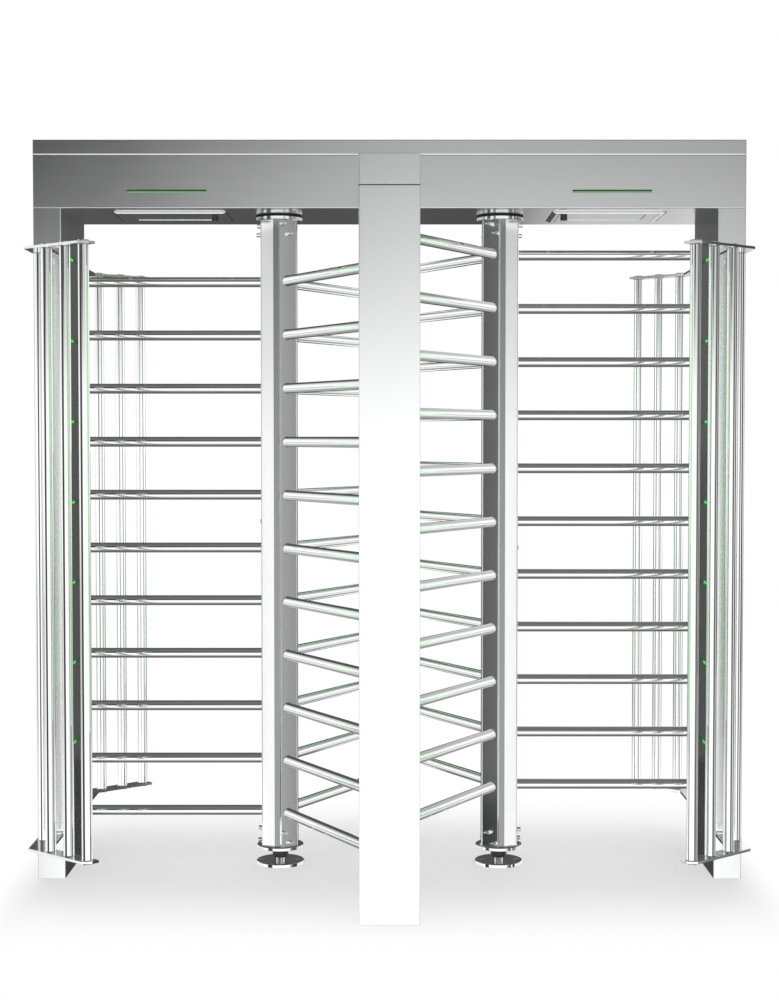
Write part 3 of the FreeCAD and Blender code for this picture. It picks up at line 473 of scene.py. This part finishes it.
class TURNSTILE_OT_portal(bpy.types.Operator):
    """Finish the beam, its lid, the columns and the cross arms"""
    bl_idname = "turnstile.portal"
    bl_label = "Portal sheet"

    def execute(self, context):
        look = finishes()
        beam = sheet_metal("satin_beam", look.sheet_colour, look.sheet_roughness, "x", look.edge_radius)
        column = sheet_metal("satin_column", look.sheet_colour, look.sheet_roughness, "z", look.edge_radius)
        # A brighter copy of the same stainless sheet for the cross arms and middle columns: painted light
        # that makes them brighter than the beam
        bright = tinted(look.sheet_colour, 1.13)
        wide = look.edge_radius * 2.5
        arm = sheet_metal("satin_cross_arm_brightened", bright, look.sheet_roughness, "x", wide)
        center = sheet_metal("satin_middle_column_brightened", bright, look.sheet_roughness, "z", wide)
        dress(beam, "beam_body", "beam_lid")
        dress(arm, "cross_arm_front", "cross_arm_rear")
        dress(column, "side_column_left", "side_column_right")
        dress(center, "center_column_front", "center_column_rear")
        self.fold_line()
        # A dark strip round the top of each middle column, under the cross arm: painted shadow in the joint
        # between them
        seam_shade = moulded_plastic("painted_seam_shadow", (0.11, 0.11, 0.11), 0.7, texture=1500)
        proud, over = 0.00025, 0.0005  # how far it stands out of the column and reaches over its top
        for end in ENDS:
            low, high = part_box(f"center_column_{end}")

            def build(shape, low=low, high=high):
                top = high.z + over
                loop_strip(shape, ((low.x, low.y), (high.x, high.y)), proud, top - sizes().seam_shadow_height, top,
                           lambda x, y, level: Vector((x, y, level)))

            piece_from(f"cross_arm_seam_shadow_{end}", build, seam_shade, "frame")
        return {"FINISHED"}

    def fold_line(self):
        """Add the folded edge under the lid, which leans down and so catches the light from below."""
        low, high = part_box("beam_lid")
        bright = polished_metal("lid_fold", finishes().tube_colour, 0.2, smear=90)
        height = sizes().fold_height
        lean = height * 0.27
        inset = 0.003  # how far it ends before the lid's corners
        outline = ((-SUNK, -SUNK), (0, -SUNK), (lean, height), (-SUNK, height + SUNK))

        def build(shape):
            for face, out in ((low.y, -1), (high.y, 1)):
                bar_between(shape, *(
                    [shape.verts.new((x, face + out * proud, low.z + level)) for proud, level in outline]
                    for x in (low.x + inset, high.x - inset)))

        piece_from("lid_fold_line", build, bright, "frame")


class TURNSTILE_OT_lights(bpy.types.Operator):
    """Light the column guides and the display bars, and add the diffuser rims"""
    bl_idname = "turnstile.lights"
    bl_label = "Guide lights"

    def execute(self, context):
        look = finishes()
        low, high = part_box("display_bars")
        half, blur = (low.z + high.z) / 2, 0.001
        # Where each glow runs from full to faint
        near_front, lower_half, even = ("Y", -0.01, 0.005), ("Z", half - blur, half), ("Z", -1, 4)
        side_lens = lit_lens("side_guide_light", look.light_colour, look.light_strength, near_front)
        center_lens = lit_lens("center_guide_light", look.light_colour, look.light_strength, even)
        bar_lens = lit_lens("display_light", (0.2, 0.5, 0.21), 0.5, lower_half)
        bar_rim = lit_lens("display_rim", (0.2, 0.42, 0.2), 0.4, lower_half)
        guide_rim = lit_lens("guide_rim", (0.03, 0.3, 0.045), 0.8, near_front)
        dress(side_lens, "side_lights_left", "side_lights_right")
        dress(center_lens, "center_lights")
        dress(bar_lens, "display_bars")
        for name, box in self.bars():
            self.display_rim(name, box, bar_rim)
        for side, out in SIDES.items():
            self.guide_rims(side, -out, guide_rim)
        return {"FINISHED"}

    def display_rim(self, name, box, rim):
        """Put a diffuser rim round a display bar, in the beam's front or rear."""
        low, high = box
        out = -1 if low.y < 0 else 1
        face = low.y if out < 0 else high.y
        corners = ((low.x + LIGHT_LIP, low.z + LIGHT_LIP), (high.x - LIGHT_LIP, high.z - LIGHT_LIP))
        proud = 0.0003

        def build(shape):
            loop_strip(shape, corners, sizes().rim_width, face - out * SUNK, face + out * proud,
                       lambda x, z, level: Vector((x, level, z)))

        piece_from(f"display_rim_{name}", build, rim, "frame")

    def guide_rims(self, side, inward, glow):
        """Put a diffuser rim round each guide light on the inner face of a side column."""
        boxes = islands(f"side_lights_{side}")
        face = max(inward * corner.x for box in boxes for corner in box) * inward
        proud = 0.0006

        def build(shape):
            for low, high in boxes:
                corners = ((low.y + LIGHT_LIP, low.z + LIGHT_LIP), (high.y - LIGHT_LIP, high.z - LIGHT_LIP))
                loop_strip(shape, corners, sizes().rim_width, face - inward * SUNK, face + inward * proud,
                           lambda y, z, level: Vector((level, y, z)))

        piece_from(f"guide_rims_{side}", build, glow, "frame")

    def bars(self):
        """The display bars with a name for each."""
        for box in islands("display_bars"):
            end = "front" if box[0].y < 0 else "rear"
            side = "left" if box[0].x < 0 else "right"
            yield f"{end}_{side}", box


class TURNSTILE_OT_guard_racks(bpy.types.Operator):
    """Finish the guard plates and tubes, and weld the tubes to the plates"""
    bl_idname = "turnstile.guard_racks"
    bl_label = "Guard racks"

    def execute(self, context):
        look = finishes()
        plate = sheet_metal("satin_plate", look.sheet_colour, look.sheet_roughness * 0.9, "x",
                            radius=0.0008, marks=8)
        tube = polished_metal("polished_guard_tube", look.tube_colour, look.tube_roughness)
        weld = weld_metal("guard_weld", look.sheet_colour)
        for rack in RACKS:
            dress(plate, f"guard_plates_{rack}", mirrored=False)
            dress(tube, f"guard_tubes_{rack}", mirrored=rack.startswith("front"))
            plates = islands(f"guard_plates_{rack}")
            levels = sorted({(round(low.z, 4), round(high.z, 4)) for low, high in plates})
            tubes = islands(f"guard_tubes_{rack}")

            def build(shape, levels=levels, tubes=tubes):
                for low, high in tubes:
                    centre = (low + high) / 2
                    outline = fillet_outline((high.x - low.x) / 2, sizes().rack_weld_leg)
                    for bottom, top in levels:
                        upward = facing(Vector((centre.x, centre.y, top)), Vector((0, 0, 1)))
                        downward = facing(Vector((centre.x, centre.y, bottom)), Vector((0, 0, -1)))
                        sweep_ring(shape, upward, outline, steps=28)
                        sweep_ring(shape, downward, outline, steps=28)

            welds = piece_from(f"guard_welds_{rack}", build, weld, "frame")
            smooth(welds)
            welds.visible_glossy = False
        dress(plate, "guard_brackets", mirrored=False)
        screw = polished_metal("bright_screw", look.tube_colour, 0.12, smear=90)
        dress(screw, "guard_screws", mirrored=False)
        return {"FINISHED"}


class TURNSTILE_OT_rotors(bpy.types.Operator):
    """Finish both rotors, and weld their arms to the posts"""
    bl_idname = "turnstile.rotors"
    bl_label = "Rotors"

    def execute(self, context):
        look = finishes()
        post = sheet_metal("satin_post", look.sheet_colour, look.sheet_roughness * 0.75, "z",
                           look.edge_radius, marks=9)
        tube = polished_metal("polished_arm", look.tube_colour, look.tube_roughness)
        weld = weld_metal("arm_weld", look.tube_colour)
        bolt = polished_metal("bright_bolt", look.tube_colour, 0.1, smear=90)
        plug = moulded_plastic("black_plug", (0.02, 0.02, 0.02), 0.45)
        # Near-black ring in the running gap under the beam: painted shadow in that gap
        gap_shade = moulded_plastic("painted_gap_shadow", (0.006, 0.006, 0.006), 0.8, texture=2500)
        band = sheet_metal("dark_joint_band", (0.3, 0.305, 0.3), 0.25, "z", look.edge_radius, marks=9)
        sleeve = moulded_plastic("neck_sleeve", (0.05, 0.05, 0.052), 0.5)
        disc = turned_metal("turned_flange", look.sheet_colour, 0.14, radius=0.0008)
        for side in SIDES:
            rotor = f"{side}_rotor"
            dress(post, f"{rotor}_post", mirrored=False)
            self.bolt_heads(rotor, bolt)
            self.joint_strips(rotor, band)
            self.neck_sleeve(rotor, sleeve)
            dress(plug, f"{rotor}_post_plug")
            dress(disc, f"{rotor}_drive_shaft", f"{rotor}_bottom_flange")
            self.shade_running_gap(rotor, gap_shade)
            for wing in WINGS:
                dress(tube, f"{rotor}_wing_{wing}", mirrored=False)
                self.weld_wing(rotor, wing, weld)
        return {"FINISHED"}

    def bolt_heads(self, rotor, bolt):
        """Replace the bolts by socket heads with a locking pin beside each, on all three wing faces."""
        node = f"{rotor}_post_bolts"
        centre = rotor_axis(rotor)
        left = centre.x < 0
        reach = post_face(rotor)
        local = Matrix.Translation(centre) @ Matrix.Rotation(math.pi if left else 0, 4, "Z")
        into = local.inverted()
        spots = []
        for low, high in islands(node):
            spot = into @ ((low + high) / 2)
            if spot.x > abs(spot.y) * 2:  # on the face that looks along the local X axis
                spots.append((spot.y, spot.z))
        low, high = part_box(f"{rotor}_post")
        middle = (low.z + high.z) / 2
        root = 0.0005  # how deep both start inside the post
        head, socket, chamfer, proud = 0.007, 0.0034, 0.0012, sizes().bolt_reach
        head_outline = [(socket, -root), (head, -root), (head, proud - chamfer), (head - chamfer, proud),
                        (socket + 0.0003, proud), (socket, proud - 0.0004)]
        core, filled = socket - 0.00005, proud * 0.7  # what closes the socket's lower part
        pin, bore, crown, worn = 0.0035, 0.0008, 0.004, 0.0008
        pin_outline = [(bore, -root), (pin, -root), (pin, crown - worn), (pin - worn, crown),
                       (bore + 0.0006, crown), (bore, crown - worn)]
        aside = 0.0195 if left else -0.0195
        raised, lowered = 0.003, -0.004

        def build(shape):
            for turn in range(3):
                face = local @ Matrix.Rotation(math.tau * turn / 3, 4, "Z")
                for y, z in spots:
                    place = face @ facing(Vector((reach, y, z)), Vector((1, 0, 0)))
                    sweep_ring(shape, place, head_outline, steps=24)
                    inside = place @ Matrix.Translation((0, 0, filled / 2 - 0.0004))
                    bmesh.ops.create_cone(shape, cap_ends=True, segments=24, radius1=core, radius2=core,
                                          depth=filled, matrix=inside)
                    beside = Vector((reach, y + aside, z + (raised if z > middle else lowered)))
                    sweep_ring(shape, face @ facing(beside, Vector((1, 0, 0))), pin_outline, steps=20)

        piece = piece_from(f"{rotor}_bolt_heads", build, bolt, rotor)
        smooth_round(piece)
        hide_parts(node)

    def joint_strips(self, rotor, band):
        """Lay a dark strip in the sunk band of each of the post's three folded joints."""
        centre = rotor_axis(rotor)
        mirror = 1 if centre.x < 0 else -1
        low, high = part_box(f"{rotor}_post")
        inset = 0.0005
        inner, outer = -0.0004, 0.0003  # from below the band's sheet to just over it
        section = [BAND_START + BAND_OUT * inner, BAND_END + BAND_OUT * inner,
                   BAND_END + BAND_OUT * outer, BAND_START + BAND_OUT * outer]

        def build(shape):
            for turn in range(3):
                turned = Matrix.Rotation(math.tau * turn / 3, 4, "Z")
                spots = [turned @ point for point in section]
                bar_between(shape, *(
                    [shape.verts.new((centre.x + mirror * spot.x, spot.y, level)) for spot in spots]
                    for level in (low.z + inset, high.z - inset)))

        piece_from(f"{rotor}_joint_strips", build, band, rotor).visible_glossy = False

    def neck_sleeve(self, rotor, rubber):
        """Put a ribbed dust sleeve round the neck under the bottom flange."""
        centre = rotor_axis(rotor)
        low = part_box(f"{rotor}_bottom_flange")[0].z
        place = Matrix.Translation(Vector((centre.x, centre.y, low)))

        def build(shape):
            sweep_ring(shape, place, SLEEVE_OUTLINE, steps=48)

        smooth_round(piece_from(f"{rotor}_neck_sleeve", build, rubber, rotor))

    def shade_running_gap(self, rotor, rubber):
        """Fill the running gap between the beam and a rotor's top flange with a dark ring, painted shadow in
        that gap.
        """
        low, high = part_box(f"{rotor}_bottom_flange")
        centre = rotor_axis(rotor) + Vector((0, 0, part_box("beam_body")[0].z))
        radius = (high.x - low.x) / 2 - 0.0006
        inside = radius - 0.006
        gap = sizes().gap_shade_height

        def build(shape):
            outline = [(inside, 0), (inside, -gap), (radius, -gap), (radius, 0)]
            sweep_ring(shape, Matrix.Translation(centre), outline, steps=64)

        smooth_round(piece_from(f"{rotor}_gap_shadow_ring", build, rubber, "frame"))

    def weld_wing(self, rotor, wing, weld):
        """Put a weld round the root of every arm of a wing."""
        axis = rotor_axis(rotor)
        arms = islands(f"{rotor}_wing_{wing}")
        low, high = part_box(f"{rotor}_wing_{wing}")
        middle = (low + high) / 2
        out = Vector((middle.x - axis.x, middle.y, 0)).normalized()
        reach = post_face(rotor)

        def build(shape):
            for low, high in arms:
                root = Vector((axis.x, axis.y, (low.z + high.z) / 2)) + out * reach
                outline = fillet_outline((high.z - low.z) / 2, sizes().weld_leg)
                sweep_ring(shape, facing(root, out), outline, steps=32)

        welds = piece_from(f"{rotor}_arm_welds_{wing}", build, weld, rotor)
        smooth(welds)
        welds.visible_glossy = False


def rotor_axis(rotor):
    """The foot of a rotor's axis, read from its lock wheel."""
    low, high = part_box(f"{rotor}_lock_wheel")
    return Vector(((low.x + high.x) / 2, 0, 0))


def post_face(rotor):
    """How far the wing faces of a post are from its axis, read from the outer wing's inner end."""
    axis_x = rotor_axis(rotor).x
    low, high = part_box(f"{rotor}_wing_outer")
    return min(abs(low.x - axis_x), abs(high.x - axis_x))


class TURNSTILE_OT_floor_pivots(bpy.types.Operator):
    """Finish the floor discs and their screws"""
    bl_idname = "turnstile.floor_pivots"
    bl_label = "Floor pivots"

    def execute(self, context):
        look = finishes()
        disc = turned_metal("polished_disc", look.tube_colour, 0.08, radius=0.0008)
        dress(disc, "left_rotor_floor_pivot", "right_rotor_floor_pivot")
        dress(polished_metal("disc_screw", look.tube_colour, 0.2, smear=90), "floor_pivot_screws")
        return {"FINISHED"}


class TURNSTILE_OT_service_covers(bpy.types.Operator):
    """Finish the service covers and locks, and add the black rubber seals, whose black also paints the
    shadow in the gap round each cover
    """
    bl_idname = "turnstile.service_covers"
    bl_label = "Service covers"

    def execute(self, context):
        look = finishes()
        sheet = sheet_metal("satin_cover", look.sheet_colour, look.sheet_roughness, "x",
                            radius=0.0006, marks=6)
        lock = moulded_plastic("black_lock", (0.018, 0.018, 0.02), 0.3)
        # A black seal round each cover, which also paints the shadow in the gap between cover and beam
        rubber = moulded_plastic("seal_and_painted_gap_shadow", (0.012, 0.012, 0.012), 0.7, texture=1500)
        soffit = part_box("beam_body")[0].z
        proud = 0.0008
        for side in SIDES:
            dress(sheet, f"{side}_service_cover")
            dress(lock, f"{side}_cover_lock")
            low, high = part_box(f"{side}_service_cover")

            def build(shape, low=low, high=high):
                corners = ((low.x, low.y), (high.x, high.y))
                loop_strip(shape, corners, sizes().seal_and_shadow_width, soffit + SUNK, soffit - proud,
                           lambda x, y, level: Vector((x, y, level)))

            piece_from(f"{side}_cover_seal_and_shadow", build, rubber, "frame")
        return {"FINISHED"}


class TURNSTILE_OT_lock_mechanism(bpy.types.Operator):
    """Finish the lock wheels, pawls, bearings, magnets and control unit"""
    bl_idname = "turnstile.lock_mechanism"
    bl_label = "Lock mechanism"

    def execute(self, context):
        grey = (0.5, 0.51, 0.52)
        steel = turned_metal("machined_steel", grey, 0.24, radius=0.0006)
        plate = sheet_metal("carrier_sheet", grey, 0.35, "x", radius=0.0006, marks=12)
        coil = moulded_plastic("coil_block", (0.03, 0.032, 0.035), 0.35)
        case = moulded_plastic("control_case", (0.22, 0.23, 0.24), 0.5)
        for side in SIDES:
            dress(steel, f"{side}_rotor_lock_wheel", f"{side}_bearing_housing",
                  f"{side}_pawl_front", f"{side}_pawl_rear")
            dress(plate, f"{side}_carrier_plate")
        dress(steel, "top_bearings", "pawl_pins", "pawl_springs")
        dress(coil, "lock_magnets")
        dress(case, "control_unit")
        return {"FINISHED"}


# Studio

def studio_panel(name, start, end, heights, stops):
    """A dark upright panel that only reflections see, shaded along its length."""
    mesh = bpy.data.meshes.new(name)
    shape = bmesh.new()
    face = shape.faces.new([shape.verts.new((*(start, end)[away], heights[up])) for away, up in PANEL_SHAPE])
    layer = shape.loops.layers.uv.new("run")
    for loop, place in zip(face.loops, PANEL_SHAPE):
        loop[layer].uv = place
    shape.to_mesh(mesh)
    shape.free()
    panel = bpy.data.objects.new(name, mesh)
    bpy.context.scene.collection.objects.link(panel)
    material = bpy.data.materials.new(name)
    material.use_nodes = True
    tree = material.node_tree
    tree.nodes.clear()
    run = add(tree, "ShaderNodeUVMap", uv_map="run")
    along = add(tree, "ShaderNodeSeparateXYZ", {0: run.outputs[0]}).outputs[0]
    shade = ramp(tree, along, [(position, value) for position, value, cover in stops])
    cover = ramp(tree, along, [(position, cover) for position, value, cover in stops])
    light = add(tree, "ShaderNodeEmission", {"Color": shade, "Strength": 1})
    clear = add(tree, "ShaderNodeBsdfTransparent")
    both = add(tree, "ShaderNodeMixShader", {0: cover, 1: clear.outputs[0], 2: light.outputs[0]})
    add(tree, "ShaderNodeOutputMaterial", {"Surface": both.outputs[0]})
    mesh.materials.append(material)
    panel.visible_camera = False
    panel.visible_diffuse = False
    panel.visible_shadow = False
    panel.visible_transmission = False


# How bright the studio is on the camera's side and behind the part, from straight down to straight up
FRONT_SKY = [
    (0.0, 0.15), (0.017, 0.2), (0.036, 0.27), (0.09, 0.6), (0.165, 0.95), (0.25, 1.12), (0.33, 1.22),
    (0.5, 1.22), (0.513, 1.08), (0.525, 0.95), (0.544, 0.88), (0.554, 0.8), (0.565, 0.74), (0.571, 0.57),
    (0.577, 0.52), (0.583, 0.44), (0.655, 0.3), (0.735, 0.21), (0.88, 0.17), (1.0, 0.17),
]
BACK_SKY = [
    (0.0, 0.15), (0.2, 0.16), (0.24, 0.2), (0.31, 0.7), (0.36, 1.0), (0.4, 1.0), (0.425, 0.58),
    (0.45, 0.56), (0.475, 1.0), (0.5, 1.1), (0.63, 1.1), (0.74, 0.5), (0.86, 0.2), (1.0, 0.17),
]
# How bright the studio is behind the camera, from its left to its right, over the height of the beam
BEAM_SWEEP = [
    (0.0, 0.0), (0.1, 0.02), (0.18, 0.11), (0.232, 0.3), (0.286, 0.46), (0.342, 0.59), (0.4, 0.66),
    (0.452, 0.76), (0.5, 0.97), (0.56, 0.9), (0.68, 0.9), (0.78, 0.81), (0.88, 0.73), (1.0, 0.66),
]

# Each panel runs from one place on the plan to another between two heights.
# Its stops give the place along it, how bright it is there and how much it covers.
PANELS = {
    "panel_left": ((-1.5, -0.66), (-1.5, -1.62), (-3, 6), [
        (0.0, 0.1, 0.0), (0.06, 0.06, 1.0), (0.4, 0.03, 1.0), (0.62, 0.14, 1.0), (0.85, 0.16, 1.0),
        (1.0, 0.3, 0.0)]),
    "panel_left_low": ((-1.49, -0.66), (-1.49, -1.62), (-3, -0.22), [
        (0.0, 0.1, 0.0), (0.06, 0.04, 1.0), (0.4, 0.02, 1.0), (0.62, 0.04, 1.0), (0.85, 0.06, 1.0),
        (1.0, 0.3, 0.0)]),
    "panel_right": ((1.5, -0.66), (1.5, -1.6), (-3, 6), [
        (0.0, 0.1, 0.0), (0.08, 0.07, 1.0), (0.35, 0.13, 1.0), (0.75, 0.45, 1.0), (1.0, 0.5, 0.0)]),
    "panel_low_right": ((1.5, 0.1), (1.5, -1.05), (-3, -0.32), [
        (0.0, 0.1, 0.0), (0.08, 0.04, 1.0), (0.92, 0.05, 1.0), (1.0, 0.2, 0.0)]),
    "panel_low_far": ((2.5, -0.3), (2.5, -0.92), (-3, -0.4), [
        (0.0, 0.1, 0.0), (0.08, 0.03, 1.0), (0.92, 0.03, 1.0), (1.0, 0.2, 0.0)]),
    "panel_rack_right": ((1.8, -0.66), (1.8, 0.15), (0.6, 3), [
        (0.0, 0.07, 0.0), (0.08, 0.06, 1.0), (0.6, 0.08, 1.0), (1.0, 0.4, 0.0)]),
    "panel_rack_low": ((1.8, -0.66), (1.8, 0.15), (-0.3, 0.6), [
        (0.0, 0.2, 0.0), (0.08, 0.2, 1.0), (0.6, 0.22, 1.0), (1.0, 0.5, 0.0)]),
    "panel_back": ((-3.5, 4.0), (1.1, 4.0), (1.35, 12), [
        (0.0, 0.12, 0.0), (0.1, 0.1, 1.0), (0.88, 0.08, 1.0), (1.0, 0.3, 0.0)]),
    "panel_back_low": ((-3.5, 4.0), (1.8, 4.0), (-0.4, 1.35), [
        (0.0, 0.12, 0.0), (0.1, 0.1, 1.0), (0.95, 0.08, 1.0), (1.0, 0.3, 0.0)]),
    "panel_back_foot": ((-0.85, 4.0), (0.85, 4.0), (-1.7, -0.4), [
        (0.0, 0.02, 0.0), (0.1, 0.02, 1.0), (0.9, 0.02, 1.0), (1.0, 0.02, 0.0)]),
}
# For each corner of a panel, whether it is at the panel's end and whether it is at its top
PANEL_SHAPE = ((0, 0), (1, 0), (1, 1), (0, 1))

SPILL_COLOUR = (0.2, 0.58, 0.2)
SPILL_POWER = 3.2 * math.pi  # watts for each square metre of a lamp


def green_spill(end, side):
    """Let the guide lights of a centre column show in the arms, as a lamp just off one of its sides."""
    low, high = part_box(f"center_column_{end}")
    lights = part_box("center_lights")
    lamp = bpy.data.lights.new(f"green_spill_{end}_{side}", "AREA")
    lamp.shape = "RECTANGLE"
    lamp.size = high.y - low.y
    lamp.size_y = lights[1].z - lights[0].z
    lamp.color = SPILL_COLOUR
    lamp.energy = SPILL_POWER * lamp.size * lamp.size_y
    spill = bpy.data.objects.new(lamp.name, lamp)
    out = SIDES[side]
    face = low.x if out < 0 else high.x
    off = 0.001
    level = (lights[0].z + lights[1].z) / 2
    centre = Vector((face + out * off, (low.y + high.y) / 2, level))
    spill.matrix_world = facing(centre, Vector((-out, 0, 0)))
    spill.visible_camera = False
    spill.visible_diffuse = False
    bpy.context.scene.collection.objects.link(spill)


def studio_world(strength):
    """White to the camera, an even light to matt surfaces, and a banded studio to shiny ones."""
    world = bpy.data.worlds.new("studio")
    bpy.context.scene.world = world
    world.use_nodes = True
    tree = world.node_tree
    tree.nodes.clear()
    ray = add(tree, "ShaderNodeTexCoord").outputs["Generated"]
    parts = add(tree, "ShaderNodeSeparateXYZ", {0: ray})
    height = spread(tree, parts.outputs[2], -1, 1, 0, 1)
    front = ramp(tree, height, FRONT_SKY)
    back = ramp(tree, height, BACK_SKY)
    blend = 0.08
    behind = spread(tree, parts.outputs[1], -blend, blend, 0, 1)
    sky = blended(tree, behind, front, back)
    reach = 0.25
    sweep = ramp(tree, spread(tree, parts.outputs[0], -reach, reach, 0, 1), BEAM_SWEEP)
    upper = spread(tree, parts.outputs[2], 0.035, 0.09, 0, 1)
    ahead = spread(tree, parts.outputs[1], -0.75, -0.9, 0, 1)
    where = add(tree, "ShaderNodeMath", {0: upper, 1: ahead}, operation="MULTIPLY").outputs[0]
    shade = add(tree, "ShaderNodeMix", {"Factor": where, "A": 1.0, "B": sweep},
                data_type="FLOAT").outputs[0]
    shiny = add(tree, "ShaderNodeBackground", {"Color": sky, "Strength": shade})
    matt = add(tree, "ShaderNodeBackground", {"Color": (1, 1, 1, 1), "Strength": strength})
    seen = add(tree, "ShaderNodeBackground", {"Color": (1, 1, 1, 1), "Strength": 1})
    path = add(tree, "ShaderNodeLightPath")
    glossy = add(tree, "ShaderNodeMixShader", {
        0: path.outputs["Is Glossy Ray"], 1: matt.outputs[0], 2: shiny.outputs[0]})
    whole = add(tree, "ShaderNodeMixShader", {
        0: path.outputs["Is Camera Ray"], 1: glossy.outputs[0], 2: seen.outputs[0]})
    add(tree, "ShaderNodeOutputWorld", {"Surface": whole.outputs[0]})


# For each axis of the floor, how far from the middle it starts to turn white and over what length
FLOOR_FADE = ((0, 1.1, 0.16), (1, 0.25, 0.8))
FLOOR_GLOW = 0.46  # how white it is under the part already


def studio_floor(colour):
    """A pale floor that keeps the part's shadow and runs out into white beyond it."""
    reach = 40
    mesh = bpy.data.meshes.new("studio_floor")
    mesh.from_pydata([(-reach, -reach, 0), (reach, -reach, 0), (reach, reach, 0), (-reach, reach, 0)], [],
                     [(0, 1, 2, 3)])
    floor = bpy.data.objects.new("studio_floor", mesh)
    bpy.context.scene.collection.objects.link(floor)
    material, tree, shader = new_material("studio_floor")
    shader.inputs["Base Color"].default_value = (*colour, 1)
    shader.inputs["Roughness"].default_value = 0.8
    shader.inputs["Specular IOR Level"].default_value = 0.1
    spot = add(tree, "ShaderNodeTexCoord").outputs["Object"]
    parts = add(tree, "ShaderNodeSeparateXYZ", {0: spot})
    beyond = []
    for axis, half, run in FLOOR_FADE:
        size = add(tree, "ShaderNodeMath", {0: parts.outputs[axis]}, operation="ABSOLUTE").outputs[0]
        beyond.append(spread(tree, size, half, half + run, 0, 1))
    apart = add(tree, "ShaderNodeCombineXYZ", {0: beyond[0], 1: beyond[1]})
    away = add(tree, "ShaderNodeVectorMath", {0: apart.outputs[0]}, operation="LENGTH").outputs["Value"]
    fade = add(tree, "ShaderNodeMapRange", {
        "Value": away, "From Min": 0.0, "From Max": 1.0, "To Min": FLOOR_GLOW, "To Max": 1.0},
        interpolation_type="SMOOTHSTEP").outputs["Result"]
    white = add(tree, "ShaderNodeEmission", {"Color": (1, 1, 1, 1), "Strength": 1})
    both = add(tree, "ShaderNodeMixShader", {0: fade, 1: shader.outputs[0], 2: white.outputs[0]})
    output = next(node for node in tree.nodes if node.type == "OUTPUT_MATERIAL")
    tree.links.new(both.outputs[0], output.inputs["Surface"])
    mesh.materials.append(material)
    floor.visible_glossy = False


class TURNSTILE_OT_stage(bpy.types.Operator):
    """Set up the studio light, the floor, the dark panels, the green lamps and the camera"""
    bl_idname = "turnstile.stage"
    bl_label = "Studio"

    def execute(self, context):
        scene = context.scene
        studio = scene.turnstile_studio
        scene.view_settings.view_transform = "Standard"
        studio_world(studio.softness)
        studio_floor(studio.floor_colour)
        for name, panel in PANELS.items():
            studio_panel(name, *panel)
        for end in ENDS:
            for side in SIDES:
                green_spill(end, side)
        camera = bpy.data.cameras.new("camera")
        camera.lens = studio.lens
        camera.sensor_width = 36
        camera.clip_end = 200
        viewer = bpy.data.objects.new("camera", camera)
        viewer.location = (0, -studio.camera_distance, studio.camera_height)
        viewer.rotation_euler = (math.pi / 2 - studio.camera_pitch, 0, 0)
        scene.collection.objects.link(viewer)
        scene.camera = viewer
        return {"FINISHED"}


STEPS = (
    TURNSTILE_OT_portal, TURNSTILE_OT_lights, TURNSTILE_OT_guard_racks, TURNSTILE_OT_rotors,
    TURNSTILE_OT_floor_pivots, TURNSTILE_OT_service_covers, TURNSTILE_OT_lock_mechanism, TURNSTILE_OT_stage,
)


class TURNSTILE_PT_dressing(bpy.types.Panel):
    bl_idname = "TURNSTILE_PT_dressing"
    bl_label = "Turnstile"
    bl_space_type = "VIEW_3D"
    bl_region_type = "UI"
    bl_category = "Turnstile"

    def draw(self, context):
        layout = self.layout
        for step in STEPS:
            layout.operator(step.bl_idname)
        for group in ("turnstile_studio", "turnstile_finish", "turnstile_pieces"):
            settings = getattr(context.scene, group)
            box = layout.box()
            for name in settings.bl_rna.properties.keys():
                if name not in ("rna_type", "name"):
                    box.prop(settings, name)


CLASSES = (StudioSettings, FinishSettings, PieceSettings, *STEPS, TURNSTILE_PT_dressing)


def register():
    for cls in CLASSES:
        bpy.utils.register_class(cls)
    bpy.types.Scene.turnstile_studio = PointerProperty(type=StudioSettings)
    bpy.types.Scene.turnstile_finish = PointerProperty(type=FinishSettings)
    bpy.types.Scene.turnstile_pieces = PointerProperty(type=PieceSettings)


def unregister():
    del bpy.types.Scene.turnstile_pieces
    del bpy.types.Scene.turnstile_finish
    del bpy.types.Scene.turnstile_studio
    for cls in reversed(CLASSES):
        bpy.utils.unregister_class(cls)


def main():
    """Register the add-on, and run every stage."""
    register()
    for step in STEPS:
        group, name = step.bl_idname.split(".")
        getattr(getattr(bpy.ops, group), name)()


if __name__ == "__main__":
    main()
